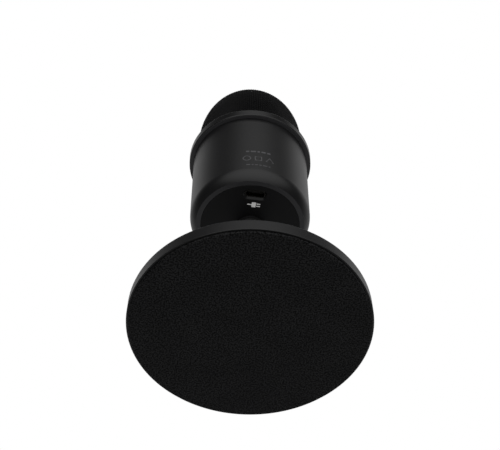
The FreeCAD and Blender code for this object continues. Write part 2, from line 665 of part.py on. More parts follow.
# ================================================================ knuckle
def knuckle():
    """Tilting tongue with a round neck and the flange that carries the microphone."""
    half = TONGUE_THICKNESS / 2
    tongue_end = bar_x(TONGUE_END_RADIUS, -half, half)
    tongue = box(
        centred(TONGUE_THICKNESS),
        centred(2 * TONGUE_END_RADIUS),
        (HINGE_HEIGHT, FLANGE_BOTTOM),
    )
    neck = lathe(
        (0, NECK_BOTTOM),
        (NECK_RADIUS, NECK_BOTTOM, 0.5),
        (NECK_RADIUS, FLANGE_BOTTOM, 0.8),
        (FLANGE_RADIUS, FLANGE_BOTTOM, FLANGE_EDGE_RADIUS),
        (FLANGE_RADIUS, FLANGE_TOP, FLANGE_EDGE_RADIUS),
        (0, FLANGE_TOP),
    )
    upper_tongue = tongue.common(cylinder(NECK_RADIUS, HINGE_HEIGHT, FLANGE_BOTTOM))
    pin_hole = bar_x(HINGE_BOLT_RADIUS + RUNNING_FIT, -POST_RADIUS, POST_RADIUS)
    stud_hole = cylinder(STUD_RADIUS + FIT, STUD_BOTTOM, FLANGE_TOP)
    return join(neck, upper_tongue, tongue_end).cut(pin_hole).cut(stud_hole)


def thread_stud():
    """Steel stud fixed in the knuckle, on which the microphone screws and turns."""
    return lathe(
        (0, STUD_BOTTOM),
        (STUD_RADIUS - SCREW_POINT, STUD_BOTTOM),
        (STUD_RADIUS, STUD_BOTTOM + SCREW_POINT),
        (STUD_RADIUS, STUD_TOP - SCREW_POINT),
        (STUD_RADIUS - SCREW_POINT, STUD_TOP),
        (0, STUD_TOP),
    )


def swivel_washer():
    """Nylon washer on the flange, under the microphone."""
    top = FLANGE_TOP + SWIVEL_WASHER_THICKNESS
    return tube(SWIVEL_WASHER_RADIUS, STUD_RADIUS + FIT, FLANGE_TOP, top)


# ================================================================ housing
def thread_insert():
    """Flanged brass insert that takes the stud."""
    flange_top = CAP_INSIDE + INSERT_FLANGE_THICKNESS
    return lathe(
        (INSERT_BORE, INSERT_BOTTOM),
        (INSERT_RADIUS, INSERT_BOTTOM),
        (INSERT_RADIUS, CAP_INSIDE),
        (INSERT_FLANGE_RADIUS, CAP_INSIDE),
        (INSERT_FLANGE_RADIUS, flange_top),
        (INSERT_RADIUS, flange_top),
        (INSERT_RADIUS, INSERT_BOTTOM + INSERT_LENGTH, 0.4),
        (INSERT_BORE, INSERT_BOTTOM + INSERT_LENGTH),
    )


def cap_boss_places():
    """Where the screws that hold the chassis and the socket board to the cap go."""
    return [around(BOSS_CIRCLE, angle) for angle in CAP_BOSS_ANGLES]


def deck_boss_places():
    """Where the screws that hold the deck to the chassis go."""
    return [around(BOSS_CIRCLE, angle) for angle in DECK_BOSS_ANGLES]


def usb_prism(gap, bottom, top):
    """Racetrack prism round the USB socket, larger than it by a gap."""
    width, depth = USB_WIDTH + 2 * gap, USB_DEPTH + 2 * gap
    return rounded_prism(width, depth, depth / 2 - 0.01, bottom, top, y=USB_Y)


def usb_chamfer():
    """Funnel that widens the USB opening towards the cap's face at 45 degrees."""
    rings = []
    for gap, z in ((USB_CUTOUT_GAP + USB_CUTOUT_CHAMFER, 0.0), (USB_CUTOUT_GAP, USB_CUTOUT_CHAMFER)):
        end = usb_prism(gap, MIC_BOTTOM + z, MIC_BOTTOM + z + 1)
        rings.append(min(end.Faces, key=lambda face: face.CenterOfMass.z).OuterWire)
    return Part.makeLoft(rings, True, True)


def bottom_cap():
    """Underside cover with the two socket holes and the bosses that carry the socket board."""
    flange_bore = CAP_FLANGE_RADIUS - CAP_FLANGE_WIDTH
    face = lathe(
        (STUD_RADIUS + STUD_HOLE_GAP, MIC_BOTTOM),
        (CAP_RADIUS, MIC_BOTTOM, 0.2),
        (CAP_RADIUS, LIP_TOP),
        (CAP_FLANGE_RADIUS, LIP_TOP),
        (CAP_FLANGE_RADIUS, CAP_FLANGE_TOP),
        (flange_bore, CAP_FLANGE_TOP),
        (flange_bore, CAP_INSIDE),
        (INSERT_RADIUS + FIT, CAP_INSIDE),
        (INSERT_RADIUS + FIT, INSERT_BOTTOM),
        (STUD_RADIUS + STUD_HOLE_GAP, INSERT_BOTTOM),
    )
    bosses = cylinders(BOSS_RADIUS, LIP_TOP, IO_BOARD_BOTTOM, cap_boss_places())
    cuts = cylinders(SCREW_RADIUS + FIT, CAP_INSIDE, IO_BOARD_BOTTOM, cap_boss_places())
    cuts.append(usb_chamfer())
    cuts.append(cylinder(JACK_NOSE_RADIUS + FIT, MIC_BOTTOM, CAP_INSIDE, y=JACK_Y))
    cap = join(face, *bosses).cut(usb_prism(USB_CUTOUT_GAP, MIC_BOTTOM, IO_BOARD_BOTTOM))
    pocket = (JACK_WIDTH + 2 * SLIDE_GAP, JACK_DEPTH + 2 * SLIDE_GAP, JACK_CORNER)
    return cap.cut(group(cuts)).cut(rounded_prism(*pocket, CAP_INSIDE, CAP_FLANGE_TOP, y=JACK_Y))


def body_shell():
    """Drawn metal sleeve with a rolled lower edge and holes for the two controls."""
    shell = lathe(
        (CAP_RADIUS + FIT, MIC_BOTTOM),
        (SHELL_RADIUS - ROLL_INSET, MIC_BOTTOM),
        (SHELL_RADIUS, ROLL_CORNER, ROLL_RADIUS),
        (SHELL_RADIUS, SHELL_TOP),
        (SHELL_BORE, SHELL_TOP),
        (SHELL_BORE, LIP_TOP),
        (CAP_RADIUS + FIT, LIP_TOP),
    )
    knob_hole = bar_y(BEZEL_RADIUS + FIT, -SHELL_RADIUS, 0, z=KNOB_Z)
    ring_hole = bar_y(LIGHT_RING_RADIUS + FIT, -SHELL_RADIUS, 0, z=BUTTON_Z)
    return shell.cut(knob_hole).cut(ring_hole)


# ================================================================ sockets
def usb_shell():
    """Drawn steel can of the USB socket, closed at its inner end."""
    outer = usb_prism(0, USB_BOTTOM, IO_BOARD_BOTTOM)
    return outer.cut(usb_prism(-USB_WALL, USB_BOTTOM, USB_BACK))


def usb_tongue():
    """Plastic tongue that carries the contacts, on a block at the can's inner end."""
    block = usb_prism(-USB_WALL - FIT, USB_BACK - USB_BLOCK_LENGTH, USB_BACK)
    start = USB_BACK - TONGUE_LENGTH
    tongue = rounded_prism(TONGUE_WIDTH, TONGUE_DEPTH, 0.2, start, USB_BACK, y=USB_Y)
    return join(block, tongue)


def usb_contacts():
    """Two rows of gilt contacts on the tongue."""
    heights = (USB_BACK - TONGUE_LENGTH + PIN_SETBACK, USB_BACK - USB_BLOCK_LENGTH)
    first = -(PIN_COUNT - 1) * PIN_PITCH / 2
    pins = []
    for i in range(PIN_COUNT):
        across = centred(PIN_WIDTH, first + i * PIN_PITCH)
        for side in (1, -1):
            face = USB_Y + side * TONGUE_DEPTH / 2
            pins.append(box(across, sorted((face, face + side * PIN_THICKNESS)), heights))
    return group(pins)


def headphone_jack():
    """Upright 3.5 mm socket: a threaded nose below a plastic body."""
    nose = lathe(
        (0, JACK_BOTTOM),
        (JACK_NOSE_RADIUS - JACK_NOSE_CHAMFER, JACK_BOTTOM),
        (JACK_NOSE_RADIUS, JACK_BOTTOM + JACK_NOSE_CHAMFER),
        (JACK_NOSE_RADIUS, CAP_INSIDE + JACK_NOSE_CHAMFER),
        (0, CAP_INSIDE + JACK_NOSE_CHAMFER),
    )
    nose.translate(V(0, JACK_Y, 0))
    top = CAP_INSIDE + JACK_LENGTH
    body = rounded_prism(JACK_WIDTH, JACK_DEPTH, JACK_CORNER, CAP_INSIDE, top, y=JACK_Y)
    bore = cylinder(JACK_BORE_RADIUS, JACK_BOTTOM, JACK_BOTTOM + JACK_BORE_LENGTH, y=JACK_Y)
    return join(nose, body).cut(bore)


# ================================================================ boards and chassis
def io_board():
    """Round socket board, pierced for the insert, the jack's body and the screws."""
    board = tube(IO_BOARD_RADIUS, IO_BOARD_BORE, IO_BOARD_BOTTOM, IO_BOARD_TOP)
    width, depth = JACK_WIDTH + 2 * SLIDE_GAP, JACK_DEPTH + 2 * SLIDE_GAP
    cuts = cylinders(SCREW_RADIUS + FIT, IO_BOARD_BOTTOM, IO_BOARD_TOP, cap_boss_places())
    cuts.append(
        rounded_prism(width, depth, JACK_CORNER, IO_BOARD_BOTTOM, IO_BOARD_TOP, y=JACK_Y)
    )
    return board.cut(group(cuts))


def chassis():
    """Plastic frame: two rings joined by grooved rails that grip the main board."""
    upper_bottom = CHASSIS_TOP - CHASSIS_RING_THICKNESS
    posts_bottom = CHASSIS_TOP - CHASSIS_POST_HEIGHT
    lower = tube(CHASSIS_OUTER, CHASSIS_INNER, IO_BOARD_TOP, CHASSIS_RING_TOP)
    upper = tube(CHASSIS_OUTER, CHASSIS_INNER, upper_bottom, CHASSIS_TOP)
    ears = cylinders(BOSS_RADIUS, IO_BOARD_TOP, CHASSIS_RING_TOP, cap_boss_places())
    posts = cylinders(BOSS_RADIUS, posts_bottom, CHASSIS_TOP, deck_boss_places())
    rail_y = centred(RAIL_DEPTH, (MAIN_BOARD_FRONT_Y + MAIN_BOARD_BACK_Y) / 2)
    rail_in = MAIN_BOARD_WIDTH / 2 - RAIL_GROOVE
    rails = [
        box((rail_in, rail_in + RAIL_WIDTH), rail_y, (IO_BOARD_TOP, CHASSIS_TOP)),
        box((-rail_in - RAIL_WIDTH, -rail_in), rail_y, (IO_BOARD_TOP, CHASSIS_TOP)),
    ]
    inside = cylinder(CHASSIS_OUTER, IO_BOARD_TOP, CHASSIS_TOP)
    frame = join(lower, upper, *rails, *ears, *posts).common(inside)
    groove = box(
        centred(MAIN_BOARD_WIDTH + 2 * FIT),
        (MAIN_BOARD_FRONT_Y - FIT, MAIN_BOARD_BACK_Y + FIT),
        (MAIN_BOARD_BOTTOM, MAIN_BOARD_TOP + FIT),
    )
    cuts = cylinders(SCREW_RADIUS + FIT, IO_BOARD_TOP, CHASSIS_RING_TOP, cap_boss_places())
    cuts += cylinders(SCREW_RADIUS + FIT, posts_bottom, CHASSIS_TOP, deck_boss_places())
    head_room = CHASSIS_RING_TOP + SCREW_HEAD_HEIGHT + SLIDE_GAP
    heads = cylinders(SCREW_HEAD_RADIUS + FIT, CHASSIS_RING_TOP, head_room, cap_boss_places())
    return frame.cut(group([groove, *cuts])).cut(group(heads))


def pan_screw(seat, x, y):
    """Small cross-recessed screw standing head up on a seat."""
    top = seat + SCREW_HEAD_HEIGHT
    shank = cylinder(SCREW_RADIUS, seat - SCREW_LENGTH, seat, x, y)
    head = soften(cylinder(SCREW_HEAD_RADIUS, seat, top, x, y), SCREW_HEAD_FILLET, "ZMin", top)
    depth = (top - SCREW_CROSS_DEPTH, top)
    arm = SCREW_HEAD_RADIUS + SCREW_CROSS_WIDTH
    cross_a = box(centred(arm, x), centred(SCREW_CROSS_WIDTH, y), depth)
    cross_b = box(centred(SCREW_CROSS_WIDTH, x), centred(arm, y), depth)
    return join(shank, head).cut(group([cross_a, cross_b]))


def chassis_screws():
    """Three screws through the chassis ring and the socket board into the cap."""
    return group([pan_screw(CHASSIS_RING_TOP, x, y) for x, y in cap_boss_places()])


def main_board():
    """Upright amplifier board behind the controls."""
    return box(
        centred(MAIN_BOARD_WIDTH),
        (MAIN_BOARD_FRONT_Y, MAIN_BOARD_BACK_Y),
        (MAIN_BOARD_BOTTOM, MAIN_BOARD_TOP),
    )


def main_board_parts():
    """Converter chip, amplifier chip, crystal, capacitors and resistors on the board's back."""
    face = MAIN_BOARD_BACK_Y
    level = MAIN_BOARD_BOTTOM
    chips = [
        box(centred(7.0, -6.5), (face, face + 1.0), centred(7.0, level + 9.5)),
        box(centred(4.0, 4.0), (face, face + 1.2), centred(5.0, level + 11.5)),
        box(centred(3.2, 9.6), (face, face + 0.9), centred(2.5, level + 7.0)),
    ]
    can_places = ((12.6, level + 13.5), (-13.4, level + 14.5))
    cans = [bar_y(CAN_RADIUS, face, face + CAN_HEIGHT, x=x, z=z) for x, z in can_places]
    resistors = [
        box(centred(1.6, x), (face, face + 0.6), centred(0.8, level + z))
        for x in (-12.5, 0.0, 13.5)
        for z in (5.4, 7.2, 18.6)
    ]
    return group([*chips, *cans, *resistors])


def board_header():
    """Pin header that joins the socket board to the main board."""
    outer_y = (MAIN_BOARD_BACK_Y, MAIN_BOARD_BACK_Y + HEADER_DEPTH)
    block = box(centred(HEADER_WIDTH), outer_y, (IO_BOARD_TOP, MAIN_BOARD_BOTTOM + HEADER_OVERLAP))
    notch = box(
        centred(HEADER_WIDTH - 2 * HEADER_WALL),
        (MAIN_BOARD_BACK_Y, MAIN_BOARD_BACK_Y + HEADER_DEPTH / 2),
        (IO_BOARD_TOP, MAIN_BOARD_BOTTOM),
    )
    return block.cut(notch)


# ================================================================ volume control
def volume_pot():
    """Rotary potentiometer on the main board, with the bush that its shaft turns in."""
    body = box(
        centred(POT_WIDTH),
        (POT_FRONT_Y, MAIN_BOARD_FRONT_Y),
        centred(POT_HEIGHT, KNOB_Z),
    )
    bush = bar_y(POT_BUSH_RADIUS, TRIM_BACK_Y + FIT, POT_FRONT_Y + SHAFT_IN_POT, z=KNOB_Z)
    bore_end = SHAFT_BACK_Y + SLIDE_GAP
    bore = bar_y(SHAFT_RADIUS + RUNNING_FIT, TRIM_BACK_Y + FIT, bore_end, z=KNOB_Z)
    return join(body, bush).cut(bore)


def pot_shaft():
    """Potentiometer shaft with a flat that keys the knob."""
    shaft = bar_y(SHAFT_RADIUS, SHAFT_FRONT_Y, SHAFT_BACK_Y, z=KNOB_Z)
    flat_z = KNOB_Z + SHAFT_RADIUS - SHAFT_FLAT
    flat = box(centred(2 * SHAFT_RADIUS), (SHAFT_FRONT_Y, KNOB_BACK_Y), (flat_z, flat_z + SHAFT_RADIUS))
    return shaft.cut(flat)


def knob_bezel():
    """Dished plate that fills the hole behind the knob."""
    plate = bar_y(BEZEL_RADIUS, BEZEL_FRONT_Y, TRIM_BACK_Y, z=KNOB_Z)
    plate = soften(plate, BEZEL_FILLET, "YMax", BEZEL_FRONT_Y)
    dish_back = BEZEL_FRONT_Y + BEZEL_DISH_DEPTH
    dish = bar_y(BEZEL_RADIUS - BEZEL_WALL, BEZEL_FRONT_Y, dish_back, z=KNOB_Z)
    hole = bar_y(SHAFT_RADIUS + SLIDE_GAP, BEZEL_FRONT_Y, TRIM_BACK_Y, z=KNOB_Z)
    return plate.cut(dish).cut(hole)


def knob_cap():
    """Fluted knob with a dished face, a groove for its marker and a keyed bore."""
    blank = bar_y(KNOB_RADIUS, KNOB_FRONT_Y, KNOB_BACK_Y, z=KNOB_Z)
    blank = blank.makeChamfer(KNOB_CHAMFER, [e for e in blank.Edges if e.BoundBox.YLength < 1e-6])
    flutes = []
    for i in range(KNOB_FLUTES):
        x, z = around(KNOB_RADIUS, 360 * (i + 0.5) / KNOB_FLUTES)
        start = KNOB_FRONT_Y + KNOB_PLAIN_RIM
        flutes.append(bar_y(KNOB_FLUTE_RADIUS, start, KNOB_BACK_Y, x=x, z=KNOB_Z + z))
    face_y = KNOB_FRONT_Y + KNOB_FACE_DISH
    dish = bar_y(KNOB_FACE_RADIUS, KNOB_FRONT_Y, face_y, z=KNOB_Z)
    mark = box(
        centred(KNOB_MARK_WIDTH),
        (KNOB_FRONT_Y, face_y + KNOB_MARK_DEPTH),
        centred(KNOB_MARK_LENGTH, KNOB_MARK_Z),
    )
    keyed = SHAFT_RADIUS + FIT
    bore = bar_y(keyed, SHAFT_FRONT_Y - FIT, KNOB_BACK_Y, z=KNOB_Z)
    flat_z = KNOB_Z + keyed - SHAFT_FLAT
    key = box(centred(2 * keyed), (SHAFT_FRONT_Y - FIT, KNOB_BACK_Y), (flat_z, flat_z + keyed))
    return blank.cut(group(flutes)).cut(dish).cut(mark).cut(bore.cut(key))


def knob_marker():
    """Pale insert in the knob's groove."""
    face_y = KNOB_FRONT_Y + KNOB_FACE_DISH
    return box(
        centred(KNOB_MARK_WIDTH - 2 * FIT),
        (face_y, face_y + KNOB_MARK_DEPTH),
        centred(KNOB_MARK_LENGTH - 2 * FIT, KNOB_MARK_Z),
    )


# ================================================================ mute button
def mute_button():
    """Round button with the stem that reaches the switch."""
    cap = bar_y(BUTTON_RADIUS, BUTTON_FRONT_Y, BUTTON_BACK_Y, z=BUTTON_Z)
    cap = soften(cap, BUTTON_EDGE_RADIUS, "YMax", BUTTON_FRONT_Y)
    stem_front = BUTTON_BACK_Y - BUTTON_EDGE_RADIUS
    return join(cap, bar_y(BUTTON_STEM_RADIUS, stem_front, PLUNGER_FRONT_Y, z=BUTTON_Z))


def switch_plunger():
    """Plunger of the switch, which moves with the button."""
    return bar_y(PLUNGER_RADIUS, PLUNGER_FRONT_Y, PLUNGER_BACK_Y, z=BUTTON_Z)


def mute_switch():
    """Square push switch on the main board."""
    body = box(
        centred(SWITCH_WIDTH),
        (SWITCH_FRONT_Y, MAIN_BOARD_FRONT_Y),
        centred(SWITCH_WIDTH, BUTTON_Z),
    )
    bore_end = PLUNGER_BACK_Y + PLUNGER_SPACE
    return body.cut(bar_y(PLUNGER_RADIUS + RUNNING_FIT, SWITCH_FRONT_Y, bore_end, z=BUTTON_Z))


def light_pipe():
    """Clear ring round the button, with two legs that bring it the lamps' light."""
    ring = bar_y(LIGHT_RING_RADIUS, LIGHT_RING_FRONT_Y, TRIM_BACK_Y, z=BUTTON_Z)
    opening = bar_y(LIGHT_RING_BORE, LIGHT_RING_FRONT_Y, TRIM_BACK_Y, z=BUTTON_Z)
    leg_front = TRIM_BACK_Y - LIGHT_LEG_RADIUS
    legs = [
        bar_y(LIGHT_LEG_RADIUS, leg_front, LED_FRONT_Y - LED_GAP, x=x, z=BUTTON_Z)
        for x in (-LIGHT_LEG_X, LIGHT_LEG_X)
    ]
    return join(ring.cut(opening), *legs)


def status_leds():
    """Two small lamps on the main board, under the light pipe's legs."""
    depth = (LED_FRONT_Y, MAIN_BOARD_FRONT_Y)
    height = centred(LED_SIZE, BUTTON_Z)
    return group([box(centred(LED_SIZE, x), depth, height) for x in (-LIGHT_LEG_X, LIGHT_LEG_X)])


# ================================================================ head
def collar_ring():
    """Turned ring between the shell and the grille, screwed into the shell by its spigot."""
    return lathe(
        (COLLAR_BORE, SHELL_TOP - COLLAR_SPIGOT),
        (COLLAR_SPIGOT_RADIUS, SHELL_TOP - COLLAR_SPIGOT),
        (COLLAR_SPIGOT_RADIUS, SHELL_TOP),
        (COLLAR_RADIUS - COLLAR_DRAFT, SHELL_TOP, COLLAR_UNDER_FILLET),
        (COLLAR_RADIUS, COLLAR_TOP, COLLAR_TOP_FILLET),
        (COLLAR_RECESS_RADIUS, COLLAR_TOP),
        (COLLAR_RECESS_RADIUS, GRILLE_SEAT),
        (COLLAR_BORE, GRILLE_SEAT),
    )


def mesh_retainer():
    """Ring that holds the grille's edge in the collar."""
    top = GRILLE_SEAT + RETAINER_HEIGHT
    return tube(RETAINER_RADIUS, RETAINER_RADIUS - RETAINER_WIDTH, GRILLE_SEAT, top)


def grille_mesh():
    """Pressed wire-cloth dome, as the skin that its wires fill."""
    return dome_shell(GRILLE_RADIUS, GRILLE_WALL, GRILLE_SEAT, DOME_BASE, GRILLE_DOME_HEIGHT)


def grille_foam():
    """Moulded foam liner inside the dome."""
    height = GRILLE_DOME_HEIGHT - GRILLE_WALL - FOAM_GAP
    return dome_shell(FOAM_RADIUS, FOAM_WALL, FOAM_BOTTOM, DOME_BASE, height)


def capsule_deck():
    """Plate that closes the chassis, with the pillar that carries the capsule."""
    plate = lathe(
        (0, CHASSIS_TOP),
        (DECK_RADIUS, CHASSIS_TOP),
        (DECK_RADIUS, DECK_TOP, DECK_FILLET),
        (PILLAR_RADIUS, DECK_TOP, PILLAR_FOOT_FILLET),
        (PILLAR_RADIUS, PILLAR_TOP),
        (0, PILLAR_TOP),
    )
    cuts = cylinders(SCREW_RADIUS + FIT, CHASSIS_TOP, DECK_TOP, deck_boss_places())
    cuts.append(cylinder(LEAD_HOLE_RADIUS, CHASSIS_TOP, PILLAR_TOP, y=LEAD_HOLE_Y))
    return plate.cut(group(cuts))


def deck_screws():
    """Three screws that hold the deck on the chassis."""
    return group([pan_screw(DECK_TOP, x, y) for x, y in deck_boss_places()])


# ================================================================ capsule
def capsule_disc(radius, front, back):
    """Disc on the capsule's axis."""
    return bar_y(radius, front, back, z=CAPSULE_Z)


def capsule_cradle():
    """Rubber cradle round the capsule, pushed on the deck's pillar."""
    foot_bottom = PILLAR_TOP - CRADLE_FOOT_HEIGHT
    foot_radius = PILLAR_RADIUS + CRADLE_FOOT_WALL
    ring = capsule_disc(CRADLE_RADIUS, -CRADLE_DEPTH / 2, CRADLE_DEPTH / 2)
    foot = cylinder(foot_radius, foot_bottom, CAPSULE_Z - CAPSULE_RADIUS)
    socket = cylinder(PILLAR_RADIUS + FIT, foot_bottom, PILLAR_TOP)
    seat = capsule_disc(CAPSULE_RADIUS + FIT, -2 * foot_radius, 2 * foot_radius)
    return join(ring, foot).cut(socket).cut(seat)


def capsule_case():
    """Nickel-plated cup of the capsule, open at the back."""
    cup = capsule_disc(CAPSULE_RADIUS, CAPSULE_FRONT_Y, CAPSULE_BACK_Y)
    hollow = capsule_disc(CAPSULE_INNER, DIAPHRAGM_Y, CAPSULE_BACK_Y)
    window = capsule_disc(CAPSULE_INNER - SPACER_WIDTH, CAPSULE_FRONT_Y, DIAPHRAGM_Y)
    return cup.cut(hollow).cut(window)


def capsule_guard():
    """Slotted guard plate in the capsule's window."""
    radius = CAPSULE_INNER - SPACER_WIDTH - FIT
    front = CAPSULE_FRONT_Y + GUARD_INSET
    pitch = 2 * radius / (GUARD_SLOT_COUNT + 1)
    slots = []
    for i in range(GUARD_SLOT_COUNT):
        z = pitch * (i + 1) - radius
        reach = 0.75 * math.sqrt(radius**2 - z**2)
        limits = centred(GUARD_SLOT_WIDTH, CAPSULE_Z + z)
        slots.append(box(centred(2 * reach), (CAPSULE_FRONT_Y, DIAPHRAGM_Y), limits))
    return capsule_disc(radius, front, front + GUARD_THICKNESS).cut(group(slots))


def capsule_diaphragm():
    """Gilt film diaphragm."""
    return capsule_disc(CAPSULE_STACK_RADIUS, DIAPHRAGM_Y, SPACER_Y)


def capsule_spacer():
    """Insulating ring between the diaphragm and the backplate."""
    ring = capsule_disc(CAPSULE_STACK_RADIUS, SPACER_Y, BACKPLATE_Y)
    return ring.cut(capsule_disc(CAPSULE_STACK_RADIUS - SPACER_WIDTH, SPACER_Y, BACKPLATE_Y))


def capsule_backplate():
    """Drilled brass backplate."""
    holes = []
    for circle, count in BACKPLATE_HOLE_RINGS:
        for i in range(count):
            x, z = around(circle, 360 * i / count)
            holes.append(bar_y(BACKPLATE_HOLE_RADIUS, BACKPLATE_Y, SLEEVE_Y, x, CAPSULE_Z + z))
    return capsule_disc(CAPSULE_STACK_RADIUS, BACKPLATE_Y, SLEEVE_Y).cut(group(holes))


def capsule_sleeve():
    """Insulating sleeve between the backplate and the capsule's board."""
    ring = capsule_disc(CAPSULE_STACK_RADIUS, SLEEVE_Y, CAPSULE_BOARD_Y)
    return ring.cut(capsule_disc(CAPSULE_STACK_RADIUS - SLEEVE_WIDTH, SLEEVE_Y, CAPSULE_BOARD_Y))


def capsule_board():
    """Small round board that closes the capsule's back."""
    return capsule_disc(CAPSULE_STACK_RADIUS, CAPSULE_BOARD_Y, CAPSULE_BACK_Y)


def lead_points(side):
    """Route of one lead from the capsule down to the main board."""
    points = []
    for y, above_deck in LEAD_ROUTE:
        drop = LEAD_STAGGER if side < 0 and above_deck > PILLAR_HEIGHT else 0.0
        points.append(V(side * LEAD_X, y, DECK_TOP + above_deck - drop))
    return points


def capsule_leads():
    """Two insulated wires from the capsule's board to the main board."""
    leads = []
    for side in (-1, 1):
        points = lead_points(side)
        points[0].y = CAPSULE_BACK_Y
        points[-1].y = MAIN_BOARD_BACK_Y
        path, radii = cord_path(points)
        lead = round_wire(path, LEAD_RADIUS)
        ratio = lead.Volume / (math.pi * LEAD_RADIUS**2 * path.Length)
        print(f"lead {path.Length:.1f} mm, radii", [round(r, 1) for r in radii], f"ratio {ratio:.4f}")
        leads.append(lead)
    return group(leads)


NODES = (
    foot_pad,
    base_cover,
    base_weight,
    post_screw,
    post_gasket,
    stand_post,
    hinge_bolt,
    hinge_nut,
    hinge_washers,
    knuckle,
    thread_stud,
    swivel_washer,
    thread_insert,
    bottom_cap,
    body_shell,
    usb_shell,
    usb_tongue,
    usb_contacts,
    headphone_jack,
    io_board,
    chassis,
    chassis_screws,
    main_board,
    main_board_parts,
    board_header,
    volume_pot,
    pot_shaft,
    knob_bezel,
    knob_cap,
    knob_marker,
    mute_button,
    switch_plunger,
    mute_switch,
    light_pipe,
    status_leds,
    collar_ring,
    mesh_retainer,
    grille_mesh,
    grille_foam,
    capsule_deck,
    deck_screws,
    capsule_cradle,
    capsule_case,
    capsule_guard,
    capsule_diaphragm,
    capsule_spacer,
    capsule_backplate,
    capsule_sleeve,
    capsule_board,
    capsule_leads,
)


def main():
    """Builds every node and writes its STEP file."""
    os.makedirs("parts", exist_ok=True)
    for build in NODES:
        shape = build()
        name = build.__name__
        solids = shape.Solids
        if not solids or not shape.isValid() or min(s.Volume for s in solids) <= 0:
            raise ValueError(f"{name} is not a valid solid")
        shape.exportStep(f"parts/{name}.step")
    print(f"{len(NODES)} nodes, {GRILLE_TOP:.1f} mm tall")


main()
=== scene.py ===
"""Looks of a desktop USB microphone on a round weighted stand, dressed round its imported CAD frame.

Metres, +Z up, -Y towards the talker. The visible sizes come from the CAD frame; what is set here
is the wire cloth, the grain of the foot pad, the marks and the finishes.
"""

import json
import logging
import math
from dataclasses import dataclass, field, replace
from enum import Enum
from typing import Callable, ClassVar

import bmesh
import bpy
import numpy as np
from mathutils import Matrix, Vector


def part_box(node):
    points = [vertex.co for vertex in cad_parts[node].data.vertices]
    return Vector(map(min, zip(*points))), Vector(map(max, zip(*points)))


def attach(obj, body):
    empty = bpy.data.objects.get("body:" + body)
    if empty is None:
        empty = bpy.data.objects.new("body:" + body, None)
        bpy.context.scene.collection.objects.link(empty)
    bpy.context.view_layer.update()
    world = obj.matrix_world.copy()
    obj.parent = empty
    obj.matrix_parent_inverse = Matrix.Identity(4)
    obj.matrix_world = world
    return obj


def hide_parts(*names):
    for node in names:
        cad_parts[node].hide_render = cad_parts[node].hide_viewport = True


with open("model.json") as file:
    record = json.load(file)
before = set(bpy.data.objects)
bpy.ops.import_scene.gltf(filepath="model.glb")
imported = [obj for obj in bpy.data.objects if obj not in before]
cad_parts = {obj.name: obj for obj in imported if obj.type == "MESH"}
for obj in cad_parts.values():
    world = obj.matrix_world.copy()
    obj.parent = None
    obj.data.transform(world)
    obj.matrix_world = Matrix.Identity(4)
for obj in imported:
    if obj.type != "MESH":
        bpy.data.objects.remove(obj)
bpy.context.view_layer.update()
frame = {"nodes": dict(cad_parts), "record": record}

LOG = logging.getLogger("microphone")
Outline = list[tuple[float, float]]
Colour = tuple[float, float, float, float]
Input = float | tuple | bpy.types.NodeSocket
SQUARE = ((-1, -1), (1, -1), (1, 1), (-1, 1))
MM = 0.001
QUARTER = math.pi / 2
WHITE = (1.0, 1.0, 1.0, 1.0)

# Brightness of the tent by the angle from each panel's middle: (degrees, level).
NEAR_PANEL = (
    (0, 1.0),
    (20, 0.95),
    (42, 0.72),
    (50, 0.58),
    (54, 0.33),
    (58, 0.08),
    (62, 0.03),
    (110, 0.03),
)
FAR_PANEL = ((0, 0.5), (58, 0.48), (63, 0.38), (69, 0.24), (77, 0.11), (84, 0.06), (110, 0.04))
BELOW_PANEL = ((0, 0.2), (50, 0.18), (70, 0.1), (110, 0.0))
# Middle of each panel in degrees: azimuth past the camera's, and elevation.
NEAR_AT, FAR_AT, BELOW_AT = (8.0, 5.0), (175.0, 25.0), (180.0, -60.0)

# ---------------------------------------------------------------- small helpers


def rgba(code: str) -> Colour:
    """Turn an sRGB hex colour to linear values.

    Args:
        code: Six hexadecimal digits.

    Returns:
        Red, green, blue and an alpha of 1, linear.
    """
    values = [int(code[i : i + 2], 16) / 255 for i in (0, 2, 4)]
    linear = [v / 12.92 if v <= 0.04045 else ((v + 0.055) / 1.055) ** 2.4 for v in values]
    return (linear[0], linear[1], linear[2], 1.0)


def add(
    tree: bpy.types.NodeTree, kind: str, links: dict | None = None, **settings: str
) -> bpy.types.Node:
    """Add a node with its settings, its constants and its links.

    Args:
        tree: The node tree that gets the node.
        kind: The node's type name.
        links: Input name or number to a constant, an output socket or a node whose first output
            is meant.
        **settings: Attributes set on the node before its inputs.

    Returns:
        The new node.
    """
    node = tree.nodes.new(kind)
    for name, value in settings.items():
        setattr(node, name, value)
    for key, value in (links or {}).items():
        socket = node.inputs[key]
        if isinstance(value, bpy.types.Node):
            value = next(output for output in value.outputs if output.enabled)
        if isinstance(value, bpy.types.NodeSocket):
            tree.links.new(value, socket)
        else:
            socket.default_value = value
    return node


def mesh_object(
    name: str, points: list, faces: list, smooth: bool = True, edges: list | None = None
) -> bpy.types.Object:
    """Make an object from points and faces and link it to the scene.

    Args:
        name: The piece's name.
        points: Corners in metres.
        faces: Tuples of corner numbers.
        smooth: Whether faces are shaded smooth.
        edges: Pairs of corner numbers, where there are edges without faces.

    Returns:
        The new object, at the origin.
    """
    mesh = bpy.data.meshes.new(name)
    mesh.from_pydata([tuple(p) for p in points], edges or [], faces)
    mesh.polygons.foreach_set("use_smooth", [smooth] * len(mesh.polygons))
    mesh.update()
    piece = bpy.data.objects.new(name, mesh)
    bpy.context.scene.collection.objects.link(piece)
    return piece


